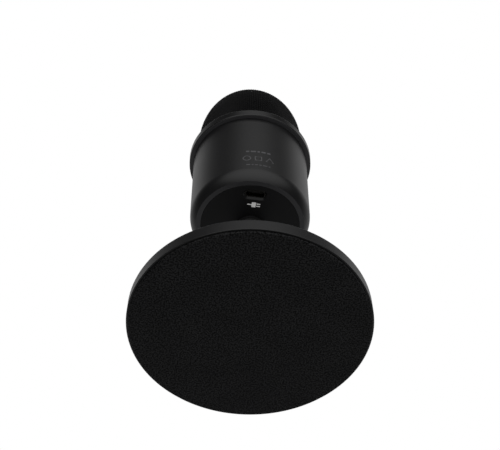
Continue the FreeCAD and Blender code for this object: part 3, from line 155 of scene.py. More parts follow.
def outwards(piece: bpy.types.Object) -> None:
    """Merge a mesh's doubles and turn its faces outwards.

    Args:
        piece: The object whose mesh is cleaned.
    """
    work = bmesh.new()
    work.from_mesh(piece.data)
    bmesh.ops.remove_doubles(work, verts=work.verts, dist=1e-7)
    bmesh.ops.recalc_face_normals(work, faces=work.faces)
    work.to_mesh(piece.data)
    work.free()


def turned(name: str, outline: Outline, steps: int, closed: bool = False) -> bpy.types.Object:
    """Turn an outline about Z.

    Args:
        name: The piece's name.
        outline: (radius, height) points in metres; a radius of 0 makes a pole.
        steps: Points round the circle.
        closed: Whether the last point joins the first.

    Returns:
        The new object, with its faces outwards.
    """
    points, rings = [], []
    for radius, height in outline:
        if radius < 1e-9:
            rings.append([len(points)] * steps)
            points.append((0.0, 0.0, height))
            continue
        rings.append(list(range(len(points), len(points) + steps)))
        for k in range(steps):
            angle = 2 * math.pi * k / steps
            points.append((radius * math.cos(angle), radius * math.sin(angle), height))
    pairs = list(zip(rings, rings[1:])) + ([(rings[-1], rings[0])] if closed else [])
    faces = []
    for low, high in pairs:
        for k in range(steps):
            after = (k + 1) % steps
            corners = dict.fromkeys((low[k], low[after], high[after], high[k]))
            if len(corners) > 2:
                faces.append(tuple(corners))
    piece = mesh_object(name, points, faces)
    outwards(piece)
    return piece


def realised(carrier: bpy.types.Object, tree: bpy.types.NodeTree, values: dict) -> bpy.types.Object:
    """Run a Geometry Nodes tree on an object and keep the result as its plain mesh.

    Args:
        carrier: The object that carries the modifier.
        tree: The Geometry Nodes tree.
        values: Named inputs and their values.

    Returns:
        The same object with the result as its mesh and no modifier.
    """
    modifier = carrier.modifiers.new("build", "NODES")
    modifier.node_group = tree
    for item in tree.interface.items_tree:
        if item.item_type == "SOCKET" and item.in_out == "INPUT" and item.name in values:
            modifier[item.identifier] = values[item.name]
    graph = bpy.context.evaluated_depsgraph_get()
    result = bpy.data.meshes.new_from_object(carrier.evaluated_get(graph))
    carrier.modifiers.remove(modifier)
    carrier.data = result
    return carrier


def nodes_tree(
    name: str, inputs: dict[str, tuple[str, float | int | None]]
) -> tuple[bpy.types.NodeTree, bpy.types.Node, bpy.types.Node]:
    """Start a Geometry Nodes tree.

    Args:
        name: The tree's name.
        inputs: Input name to (socket type, default value).

    Returns:
        The tree, its input node and its output node.
    """
    tree = bpy.data.node_groups.new(name, "GeometryNodeTree")
    tree.interface.new_socket("Geometry", in_out="INPUT", socket_type="NodeSocketGeometry")
    for label, (kind, default) in inputs.items():
        socket = tree.interface.new_socket(label, in_out="INPUT", socket_type=kind)
        if default is not None:
            socket.default_value = default
    tree.interface.new_socket("Geometry", in_out="OUTPUT", socket_type="NodeSocketGeometry")
    return tree, add(tree, "NodeGroupInput"), add(tree, "NodeGroupOutput")


# ---------------------------------------------------------------- finishes


class Pattern(Enum):
    """How a finish's fine surface was made."""

    SPRAYED = "sprayed"
    MOULDED = "moulded"
    GRAINED = "grained"
    TURNED = "turned"
    POROUS = "porous"
    PLAIN = "plain"


@dataclass(frozen=True)
class Finish:
    """One real finish and how it was made.

    Attributes:
        name: What the material is.
        colour: sRGB hex of its own colour.
        rough: Roughness of the surface.
        metal: 1 for a bare metal, else 0.
        pattern: How the fine surface was made.
        grain_mm: Real size of the pattern's grains.
        bump_mm: Height of the pattern.
        shift: How far the colour wanders, as a share.
        coat: Weight of a clear coat.
        sheen: Weight of soft fibres or dust on the surface.
        ior: Refractive index of a non-metal.
        glow: Strength of a painted glow, light that the piece gives though it is no lamp.
        clear: Share of light that passes through.
        under: sRGB hex of a lighter colour on faces that look down, painted light from below, where
            it differs.
        painted_pit_shade: Share by which the low spots of the pattern are darkened, as painted
            shade.
        crisp: Roughness of the faces that don't look down, where it differs.

    Class constants:
        CLOUD: How many grains wide the slow change of colour is.
        UNEVEN: How far the roughness wanders either way.
        PIT_FROM, PIT_TO: Heights of the pattern between which its painted pit shade fades out.
        DOWN_FROM, DOWN_TO: Slopes between which a face comes to count as looking down.
        STREAK: How a turned pattern is squeezed along and across the tool's path.
    """

    CLOUD: ClassVar[float] = 24.0
    UNEVEN: ClassVar[float] = 0.06
    PIT_FROM: ClassVar[float] = 0.42
    PIT_TO: ClassVar[float] = 0.58
    DOWN_FROM: ClassVar[float] = -0.8
    DOWN_TO: ClassVar[float] = -0.97
    STREAK: ClassVar[tuple[float, float, float]] = (0.05, 0.05, 1.0)

    name: str
    colour: str
    rough: float = 0.5
    metal: float = 0.0
    pattern: Pattern = Pattern.MOULDED
    grain_mm: float = 0.4
    bump_mm: float = 0.01
    shift: float = 0.08
    coat: float = 0.0
    sheen: float = 0.0
    ior: float = 1.5
    glow: float = 0.0
    clear: float = 0.0
    under: str = ""
    painted_pit_shade: float = 0.0
    crisp: float = 0.0

    def make(self) -> bpy.types.Material:
        """Build the node material.

        Returns:
            A new material named for the finish.
        """
        material = bpy.data.materials.new(self.name)
        material.use_nodes = True
        tree = material.node_tree
        tree.nodes.clear()
        place = add(tree, "ShaderNodeTexCoord").outputs["Object"]
        cloud = 1 / (self.CLOUD * self.grain_mm * MM)
        wander = add(tree, "ShaderNodeTexNoise", {"Vector": place, "Scale": cloud, "Detail": 3.0})
        base = rgba(self.colour)
        dark, light = self.shaded(base, -self.shift), self.shaded(base, self.shift)
        height = self.relief(tree, place)
        colour = self.mixed(tree, wander.outputs[0], dark, light)
        # Painted shade: the low spots of the pattern are darkened where the light can't reach into
        # them.
        if self.painted_pit_shade:
            links = {"Value": height, "From Min": self.PIT_FROM, "From Max": self.PIT_TO}
            deep = add(tree, "ShaderNodeMapRange", links).outputs[0]
            grain = self.mixed(tree, deep, self.shaded(WHITE, -self.painted_pit_shade), WHITE)
            colour = self.mixed(tree, 1.0, colour, grain, blend="MULTIPLY")
        # Painted light: faces that look down get a lighter colour, standing for light from below.
        if self.under:
            colour = self.mixed(tree, self.looks_down(tree), colour, rgba(self.under))
        links = {"Base Color": colour, "Metallic": self.metal}
        shader = add(tree, "ShaderNodeBsdfPrincipled", links)
        if not self.metal:
            shader.inputs["IOR"].default_value = self.ior
        shader.inputs["Coat Weight"].default_value = self.coat
        shader.inputs["Coat Roughness"].default_value = 0.12
        shader.inputs["Sheen Weight"].default_value = self.sheen
        shader.inputs["Sheen Roughness"].default_value = 0.5
        shader.inputs["Transmission Weight"].default_value = self.clear
        # Painted glow: the piece gives light though it is no lamp.
        if self.glow:
            shader.inputs["Emission Color"].default_value = base
            shader.inputs["Emission Strength"].default_value = self.glow
        self.surface(tree, height, shader)
        add(tree, "ShaderNodeOutputMaterial", {"Surface": shader})
        return material

    def shaded(self, colour: Colour, change: float) -> Colour:
        """Give a linear colour made lighter or darker by a share."""
        return tuple(min(1.0, c * (1 + change)) for c in colour[:3]) + (1.0,)

    def mixed(
        self,
        tree: bpy.types.NodeTree,
        factor: Input,
        first: Input,
        second: Input,
        blend: str = "MIX",
    ) -> bpy.types.NodeSocket:
        """Mix two colours.

        Args:
            tree: The material's node tree.
            factor: Share of the second, a number or a socket.
            first: A colour or a socket.
            second: A colour or a socket.
            blend: How they are mixed.

        Returns:
            The mixed colour's socket.
        """
        links = {"Factor": factor, 6: first, 7: second}
        return add(tree, "ShaderNodeMix", links, data_type="RGBA", blend_type=blend).outputs[2]

    def looks_down(self, tree: bpy.types.NodeTree) -> bpy.types.NodeSocket:
        """Tell which faces look down in the piece's own frame.

        Args:
            tree: The material's node tree.

        Returns:
            A socket that is 1 on faces that look down and 0 elsewhere.
        """
        facing = add(tree, "ShaderNodeTexCoord").outputs["Normal"]
        split = add(tree, "ShaderNodeSeparateXYZ", {"Vector": facing})
        slope = split.outputs["Z"]
        links = {"Value": slope, "From Min": self.DOWN_FROM, "From Max": self.DOWN_TO}
        return add(tree, "ShaderNodeMapRange", links).outputs[0]

    def relief(self, tree: bpy.types.NodeTree, place: bpy.types.NodeSocket) -> bpy.types.NodeSocket:
        """Add the pattern that the finish's surface has.

        Args:
            tree: The material's node tree.
            place: Object coordinates.

        Returns:
            The pattern's height, from 0 to 1.
        """
        scale = 1 / (self.grain_mm * MM)
        if self.pattern is Pattern.TURNED:
            # Lathe marks run round the axis, so the noise is stretched along them.
            links = {"Vector": place, "Scale": self.STREAK}
            place = add(tree, "ShaderNodeMapping", links).outputs[0]
        if self.pattern is Pattern.POROUS:
            links = {"Vector": place, "Scale": scale}
            return add(tree, "ShaderNodeTexVoronoi", links).outputs["Distance"]
        links = {"Vector": place, "Scale": scale, "Detail": 2.0}
        return add(tree, "ShaderNodeTexNoise", links).outputs[0]

    def surface(
        self, tree: bpy.types.NodeTree, height: bpy.types.NodeSocket, shader: bpy.types.Node
    ) -> None:
        """Add the finish's bump and its uneven gloss.

        Args:
            tree: The material's node tree.
            height: The pattern's height.
            shader: The node that gets roughness and normal.
        """
        low, high = max(0.02, self.rough - self.UNEVEN), min(1.0, self.rough + self.UNEVEN)
        links = {"Value": height, "To Min": low, "To Max": high}
        uneven = add(tree, "ShaderNodeMapRange", links).outputs[0]
        if self.crisp:
            links = {"Factor": self.looks_down(tree), 2: self.crisp, 3: uneven}
            uneven = add(tree, "ShaderNodeMix", links, data_type="FLOAT").outputs[0]
        tree.links.new(uneven, shader.inputs["Roughness"])
        if self.pattern is not Pattern.PLAIN:
            links = {"Height": height, "Distance": self.bump_mm * MM, "Strength": 1.0}
            bump = add(tree, "ShaderNodeBump", links)
            tree.links.new(bump.outputs[0], shader.inputs["Normal"])


# Powder-sprayed satin paint over metal: black, with a soft wide gloss and a very fine orange peel.
SATIN_PAINT = Finish(
    "satin_black_paint", "181819", 0.34, pattern=Pattern.SPRAYED, grain_mm=0.5, bump_mm=0.004
)
# Lighter grey for faces that look down: painted light from below.
PAINTED_LIGHT_BELOW = "4c4c4e"
# The same paint on the turned housing, with a lighter grey painted on the faces that look down:
# painted light from below.
HOUSING_PAINT = replace(SATIN_PAINT, name="satin_black_paint_painted_light_below", under=PAINTED_LIGHT_BELOW)
# The collar's paint is polished: the same black, with crisp reflections, and the same painted light
# on the faces that look down.
COLLAR_PAINT = replace(
    HOUSING_PAINT,
    name="polished_black_paint_painted_light_below",
    colour="161617",
    rough=0.2,
    grain_mm=0.6,
    bump_mm=0.001,
)
# Powder coat fired dull on the small hinge castings: hardly a highlight on its edges.
DULL_COAT = Finish(
    "dull_black_powder_coat",
    "1a1a1b",
    0.6,
    pattern=Pattern.SPRAYED,
    grain_mm=0.4,
    bump_mm=0.01,
    ior=1.35,
)
# Black nylon washers: dull and a little waxy.
BLACK_NYLON = Finish("black_nylon", "0e0e0f", 0.6, grain_mm=0.4, bump_mm=0.004, ior=1.35)
# Moulded ABS with a spark-eroded mould texture: dull, with hardly any reflection. The mould's
# upright walls are polished so that the piece lets go, which gives them a crisper gloss.
MATT_ABS = Finish(
    "matt_black_abs", "1c1c1d", 0.62, grain_mm=0.35, bump_mm=0.012, ior=1.35, crisp=0.22
)
# Dip-painted steel wire: dark, with a faint soft light along each wire.
PAINTED_WIRE = Finish("black_painted_wire", "131314", 0.55, grain_mm=0.3, bump_mm=0.004, ior=1.28)
# Grained polyurethane sheet: tiny pebbles, with painted shade darkening the valleys between them.
# The real grain is about 0.4 mm wide and is drawn a little coarser so that it shows.
PEBBLED_PU = Finish(
    "pebbled_black_polyurethane",
    "333334",
    0.7,
    pattern=Pattern.GRAINED,
    grain_mm=0.65,
    bump_mm=0.22,
    shift=0.35,
    ior=1.2,
    painted_pit_shade=0.9,
)
# Plain moulded rubber: dull and a little dusty.
PLAIN_RUBBER = Finish("black_rubber", "171717", 0.7, grain_mm=0.5, bump_mm=0.01, sheen=0.1)
# Open-cell polyurethane foam: no gloss at all, dark pores.
OPEN_FOAM = Finish(
    "black_open_cell_foam",
    "0f0f10",
    0.95,
    pattern=Pattern.POROUS,
    grain_mm=0.6,
    bump_mm=0.2,
    ior=1.2,
)
# Zinc-plated steel: a bluish grey with turning marks.
ZINC_STEEL = Finish("zinc_plated_steel", "a9adb0", 0.36, 1.0, Pattern.TURNED, 0.15, 0.004)
# Black-oxide screws: almost black metal that shines at its edges.
BLACK_OXIDE = Finish("black_oxide_steel", "2b2b2d", 0.38, 1.0, Pattern.TURNED, 0.12, 0.003)
# Bright nickel plating over drawn or turned steel.
BRIGHT_NICKEL = Finish("bright_nickel", "c8c5be", 0.2, 1.0, Pattern.PLAIN, 0.2, 0.0)
# Turned brass, yellow with fine tool marks.
TURNED_BRASS = Finish("turned_brass", "c8a058", 0.28, 1.0, Pattern.TURNED, 0.15, 0.004)
# Gold flash on contacts and on the diaphragm film.
GOLD_FLASH = Finish("gold_flash", "d8ae5c", 0.22, 1.0, Pattern.PLAIN, 0.2, 0.0)
# Natural nylon: milky and waxy.
NATURAL_NYLON = Finish("natural_nylon", "cfccc0", 0.45, grain_mm=0.4, bump_mm=0.005)
# Green solder mask on glass-fibre laminate, glossy.
SOLDER_MASK = Finish(
    "green_solder_mask", "12402a", 0.3, grain_mm=0.6, bump_mm=0.006, coat=0.4
)
# Moulded epoxy and connector plastic.
EPOXY = Finish("moulded_epoxy", "1c1c1e", 0.55, grain_mm=0.2, bump_mm=0.006)
# Glass-filled nylon frame: dark grey with a slightly uneven skin.
FILLED_NYLON = Finish(
    "glass_filled_nylon", "333336", 0.6, grain_mm=0.6, bump_mm=0.015, shift=0.15
)
# Soft-touch lacquer on the knob: nearly matt.
SOFT_TOUCH = Finish("soft_touch_lacquer", "19191a", 0.5, grain_mm=0.3, bump_mm=0.004, ior=1.42)
# White pad-printed ink and the knob's white insert, with a painted glow that makes them brighter
# though they give no light.
WHITE_INK_PAINTED_GLOW = Finish(
    "white_ink_painted_glow",
    "f4f4f2",
    0.5,
    pattern=Pattern.PLAIN,
    grain_mm=0.3,
    bump_mm=0.0,
    shift=0.02,
    glow=0.2,
)
# Laser-etched marks: the paint is burnt to a dull grey.
ETCHED = Finish("laser_etched_grey", "5c5c5e", 0.6, pattern=Pattern.PLAIN, grain_mm=0.3, bump_mm=0.0)
# Polished polycarbonate button.
GLOSS_PC = Finish("gloss_black_polycarbonate", "161617", 0.22, grain_mm=0.8, bump_mm=0.001, coat=0.3)
# Frosted acrylic light guide, milky white when unlit.
FROSTED_ACRYLIC = Finish(
    "frosted_acrylic", "dfe4e6", 0.35, grain_mm=0.4, bump_mm=0.002, clear=0.5, ior=1.49
)
# Lens of a small lamp.
LAMP_LENS = Finish("lamp_lens", "d8d6b8", 0.3, grain_mm=0.4, bump_mm=0.001, ior=1.5)

# What each CAD node is made of.
NODE_FINISHES: dict[str, Finish] = {
    "foot_pad": PEBBLED_PU,
    "base_cover": SATIN_PAINT,
    "base_weight": ZINC_STEEL,
    "post_screw": ZINC_STEEL,
    "post_gasket": PLAIN_RUBBER,
    "stand_post": SATIN_PAINT,
    "hinge_bolt": BLACK_OXIDE,
    "hinge_nut": BLACK_OXIDE,
    "hinge_washers": BLACK_NYLON,
    "knuckle": DULL_COAT,
    "thread_stud": ZINC_STEEL,
    "swivel_washer": BLACK_NYLON,
    "thread_insert": TURNED_BRASS,
    "bottom_cap": MATT_ABS,
    "body_shell": HOUSING_PAINT,
    "usb_shell": BRIGHT_NICKEL,
    "usb_tongue": EPOXY,
    "usb_contacts": GOLD_FLASH,
    "headphone_jack": EPOXY,
    "io_board": SOLDER_MASK,
    "chassis": FILLED_NYLON,
    "chassis_screws": BLACK_OXIDE,
    "main_board": SOLDER_MASK,
    "main_board_parts": EPOXY,
    "board_header": EPOXY,
    "volume_pot": BRIGHT_NICKEL,
    "pot_shaft": BRIGHT_NICKEL,
    "knob_bezel": SATIN_PAINT,
    "knob_cap": SOFT_TOUCH,
    "knob_marker": WHITE_INK_PAINTED_GLOW,
    "mute_button": GLOSS_PC,
    "switch_plunger": EPOXY,
    "mute_switch": EPOXY,
    "light_pipe": FROSTED_ACRYLIC,
    "status_leds": LAMP_LENS,
    "collar_ring": COLLAR_PAINT,
    "mesh_retainer": MATT_ABS,
    "grille_mesh": PAINTED_WIRE,
    "grille_foam": OPEN_FOAM,
    "capsule_deck": FILLED_NYLON,
    "deck_screws": BLACK_OXIDE,
    "capsule_cradle": PLAIN_RUBBER,
    "capsule_case": BRIGHT_NICKEL,
    "capsule_guard": BRIGHT_NICKEL,
    "capsule_diaphragm": GOLD_FLASH,
    "capsule_spacer": NATURAL_NYLON,
    "capsule_backplate": TURNED_BRASS,
    "capsule_sleeve": NATURAL_NYLON,
    "capsule_board": SOLDER_MASK,
    "capsule_leads": PLAIN_RUBBER,
}


class Wardrobe:
    """Makes each finish once and puts it on pieces."""

    def __init__(self) -> None:
        """Start with no material made."""
        self.made: dict[str, bpy.types.Material] = {}

    def material(self, finish: Finish) -> bpy.types.Material:
        """Give the material of a finish, made on first use."""
        if finish.name not in self.made:
            self.made[finish.name] = finish.make()
        return self.made[finish.name]

    def dress(self, piece: bpy.types.Object, finish: Finish) -> None:
        """Put one finish on a whole piece.

        Args:
            piece: The object.
            finish: What it is made of.
        """
        piece.data.materials.clear()
        piece.data.materials.append(self.material(finish))


# ---------------------------------------------------------------- the wire dome


@dataclass
class DomeShape:
    """Upright wall that closes in half an ellipse, as a surface to put wires on.

    Attributes:
        radius: Radius of the wall.
        low: Height of the wall's foot.
        spring: Height where the wall starts to close.
        top: Height of the crown.

    Class constants:
        SETTLINGS: Steps that bring a point on to the surface.
    """

    SETTLINGS: ClassVar[int] = 4

    radius: float
    low: float
    spring: float
    top: float

    def outline(self, steps: int) -> Outline:
        """Draw the dome's half section.

        Args:
            steps: How many straight pieces the curve gets.

        Returns:
            (radius, height) points from the foot to the crown.
        """
        rise = self.top - self.spring
        wall = [(self.radius, self.low)]
        turns = [QUARTER * k / steps for k in range(steps + 1)]
        curve = [(self.radius * math.cos(a), self.spring + rise * math.sin(a)) for a in turns]
        curve[-1] = (0.0, self.top)
        return wall + curve

    def gradient(self, point: Vector) -> tuple[float, Vector]:
        """Tell how far a point is off the surface and which way is out.

        Args:
            point: A point near the surface.

        Returns:
            The signed distance, nearly, and the outward direction.
        """
        flat = math.hypot(point.x, point.y)
        rise, height = max(0.0, point.z - self.spring), self.top - self.spring
        slope = Vector((point.x / self.radius**2, point.y / self.radius**2, rise / height**2))
        value = (flat / self.radius) ** 2 + (rise / height) ** 2 - 1
        return value / (2 * slope.length), slope.normalized()

    def settle(self, point: Vector) -> tuple[Vector, Vector]:
        """Move a point on to the surface.

        Args:
            point: A point near the surface.

        Returns:
            The point on the surface and the outward direction there.
        """
        for _ in range(self.SETTLINGS):
            off, out = self.gradient(point)
            point = point - out * off
        return point, self.gradient(point)[1]


@dataclass
class WireNet:
    """Square wire cloth laid over a dome, with every wire a pitch from the next along the other.

    Attributes:
        shape: The surface through the middle of the cloth.
        pitch: Distance between crossings along a wire.
        knots: Every crossing's place by its (row, column) from the crown.

    Class constants:
        SPINE_STEPS: Corrections to each crossing of the two wires over the crown.
        CELL_STEPS: Most corrections to any other crossing.
        FLAT_CELL: Below this a cell's two wires are as good as in line, and the cloth ends.
        EXACT, FAIR: Misses, as shares of the pitch, at which a crossing is done or will do.
        NEARLY: A length in metres that counts as none.
    """

    SPINE_STEPS: ClassVar[int] = 6
    CELL_STEPS: ClassVar[int] = 12
    FLAT_CELL: ClassVar[float] = 0.05
    EXACT: ClassVar[float] = 1e-5
    FAIR: ClassVar[float] = 0.02
    NEARLY: ClassVar[float] = 1e-9

    shape: DomeShape
    pitch: float
    knots: dict[tuple[int, int], Vector] = field(default_factory=dict)

    def crossing(self, first: Vector, second: Vector, behind: Vector) -> Vector | None:
        """Find the crossing that lies a pitch from two others.

        Args:
            first: A neighbour along one wire.
            second: A neighbour along the other wire.
            behind: The crossing on the far side of the cell.

        Returns:
            The point, or None where the cloth can't go on.
        """
        point, out = self.shape.settle(first + second - behind)
        for _ in range(self.CELL_STEPS):
            along = (first - second).cross(out).normalized()
            across = out.cross(along)
            to_first, to_second = point - first, point - second
            if min(to_first.length, to_second.length) < self.NEARLY:
                return None
            misses = Vector((to_first.length - self.pitch, to_second.length - self.pitch))
            rows = Matrix(
                (
                    (to_first.normalized().dot(along), to_first.normalized().dot(across)),
                    (to_second.normalized().dot(along), to_second.normalized().dot(across)),
                )
            )
            if abs(rows.determinant()) < self.FLAT_CELL:
                return None
            step = rows.inverted() @ misses
            point, out = self.shape.settle(point - along * step.x - across * step.y)
            if misses.length < self.pitch * self.EXACT:
                return point
        return point if misses.length < self.pitch * self.FAIR else None

    def weave(self) -> None:
        """Work out every crossing of one quarter and mirror it to the others."""
        crown, out = self.shape.settle(Vector((0.0, 0.0, self.shape.top)))
        quarter = {(0, 0): crown}
        for rows, columns in ((1, 0), (0, 1)):
            ahead = Vector((float(rows), float(columns), 0.0))
            ahead -= out * ahead.dot(out)
            point, k = crown, 0
            while point.z > self.shape.low:
                last, k = point, k + 1
                guess = last + ahead.normalized() * self.pitch
                for _ in range(self.SPINE_STEPS):
                    guess = self.shape.settle(guess)[0]
                    guess = last + (guess - last).normalized() * self.pitch
                point = self.shape.settle(guess)[0]
                ahead = point - last
                quarter[(k * rows, k * columns)] = point
        reach = max(max(key) for key in quarter)
        for i in range(1, reach + 1):
            for j in range(1, reach + 1):
                near = [quarter.get(key) for key in ((i - 1, j), (i, j - 1), (i - 1, j - 1))]
                if any(p is None or p.z < self.shape.low for p in near):
                    continue
                found = self.crossing(*near)
                if found is not None:
                    quarter[(i, j)] = found
        for (i, j), point in quarter.items():
            for sx in (1, -1):
                for sy in (1, -1):
                    self.knots[(sx * i, sy * j)] = Vector((sx * point.x, sy * point.y, point.z))

    def wires(self, along_first: bool, lift: float) -> tuple[list[Vector], list[tuple[int, int]]]:
        """Give the wires of one direction as points and edges.

        Args:
            along_first: Which of the two directions.
            lift: How far a wire bends out or in at a crossing.

        Returns:
            Points and the edges that join them.
        """
        points, edges, numbers = [], [], {}
        for (i, j), knot in self.knots.items():
            side = 1 if (i + j) % 2 == (0 if along_first else 1) else -1
            out = self.shape.gradient(knot)[1]
            numbers[(i, j)] = len(points)
            points.append(knot + out * (lift * side))
        for (i, j), number in numbers.items():
            after = (i + 1, j) if along_first else (i, j + 1)
            if after in numbers:
                edges.append((number, numbers[after]))
        return points, edges


def wire_tree() -> bpy.types.NodeTree:
    """Build the tree that turns edges into round wires.

    Returns:
        A tree with inputs Radius, Sides and Finish.
    """
    tree, source, target = nodes_tree(
        "wire_cloth",
        {
            "Radius": ("NodeSocketFloat", 0.15 * MM),
            "Sides": ("NodeSocketInt", 5),
            "Finish": ("NodeSocketMaterial", None),
        },
    )
    path = add(tree, "GeometryNodeMeshToCurve", {"Mesh": source.outputs["Geometry"]})
    section = add(
        tree,
        "GeometryNodeCurvePrimitiveCircle",
        {"Resolution": source.outputs["Sides"], "Radius": source.outputs["Radius"]},
    )
    links = {"Curve": path, "Profile Curve": section, "Fill Caps": True}
    swept = add(tree, "GeometryNodeCurveToMesh", links)
    whole = add(tree, "GeometryNodeRealizeInstances", {"Geometry": swept})
    links = {"Geometry": whole, "Material": source.outputs["Finish"]}
    dressed = add(tree, "GeometryNodeSetMaterial", links)
    smooth = add(tree, "GeometryNodeSetShadeSmooth", {"Geometry": dressed})
    tree.links.new(smooth.outputs[0], target.inputs["Geometry"])
    return tree


# ---------------------------------------------------------------- sub-assemblies


@dataclass
class Assembly:
    """A sub-assembly of CAD nodes that ride on one body.

    Attributes:
        wardrobe: Where its finishes come from.
        body: The CAD body that new pieces ride on.
        nodes: The CAD nodes that it dresses.
    """

    wardrobe: Wardrobe
    body: str
    nodes: tuple[str, ...]

    def dress(self) -> None:
        """Put each CAD node's own finish on it."""
        for name in self.nodes:
            self.wardrobe.dress(frame["nodes"][name], NODE_FINISHES[name])

    def keep(self, piece: bpy.types.Object, slot: str, *stands_for: str) -> bpy.types.Object:
        """Fix a finished piece to the body.

        Args:
            piece: The finished piece.
            slot: The record's material slot; not used.
            *stands_for: CAD nodes that it replaces.

        Returns:
            The same piece.
        """
        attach(piece, self.body)
        if stands_for:
            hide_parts(*stands_for)
        LOG.info("%s: %d faces on %s", piece.name, len(piece.data.polygons), self.body)
        return piece

    def build(self) -> None:
        """Make the pieces that the CAD leaves plain."""


@dataclass
class Stand(Assembly):
    """Weighted base with its foot pad, post and hinge screws.

    Attributes:
        roll: Width over which the pad's edge rounds off.
        roll_depth: How far the pad's edge stands back.
        back_edge: Chamfer of the pad's glued side.
        swell: Height of the pad's slow unevenness.
        waves: Width of each slow wave and where it starts along X and Y.
        rings: Rings of faces across the pad.
        spokes: Faces round the pad.
        roll_steps: Rings of faces on the rolled edge.
    """

    roll: float = 0.9 * MM
    roll_depth: float = 0.4 * MM
    back_edge: float = 0.1 * MM
    swell: float = 0.06 * MM
    waves: tuple[tuple[float, float, float], ...] = (
        (0.021, 0.4, 1.3),
        (0.013, 2.1, 0.2),
        (0.0083, 1.1, 2.6),
    )
    rings: int = 96
    spokes: int = 288
    roll_steps: int = 10

    def build(self) -> None:
        """Make the grained foot pad with its rolled edge."""
        low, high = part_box("foot_pad")
        radius, top = (high.x - low.x) / 2, high.z
        inner = radius - self.roll
        outline = [(inner * k / self.rings, 0.0) for k in range(self.rings + 1)]
        outline += [
            (inner + self.roll * math.sin(a), self.roll_depth * (1 - math.cos(a)))
            for a in (QUARTER * k / self.roll_steps for k in range(1, self.roll_steps + 1))
        ]
        outline += [(radius, top - self.back_edge), (radius - self.back_edge, top), (0.0, top)]
        pad = turned("foot_pad_grained", outline, self.spokes)
        self.unsettle(pad, inner)
        self.wardrobe.dress(pad, PEBBLED_PU)
        self.keep(pad, "foot_rubber", "foot_pad")

    def unsettle(self, pad: bpy.types.Object, inner: float) -> None:
        """Let the pad's face stand a little uneven, as soft sheet does on glue.

        Args:
            pad: The pad.
            inner: Radius where the rolled edge starts.
        """
        for vertex in pad.data.vertices:
            place = vertex.co
            if place.z > self.roll_depth:
                continue
            fade = min(1.0, max(0.0, (inner - math.hypot(place.x, place.y)) / self.roll + 1))
            lift = sum(
                math.sin(place.x / size + shift) * math.sin(place.y / size + other)
                for size, shift, other in self.waves
            )
            vertex.co.z += self.swell * fade * (lift / len(self.waves) + 1) / 2


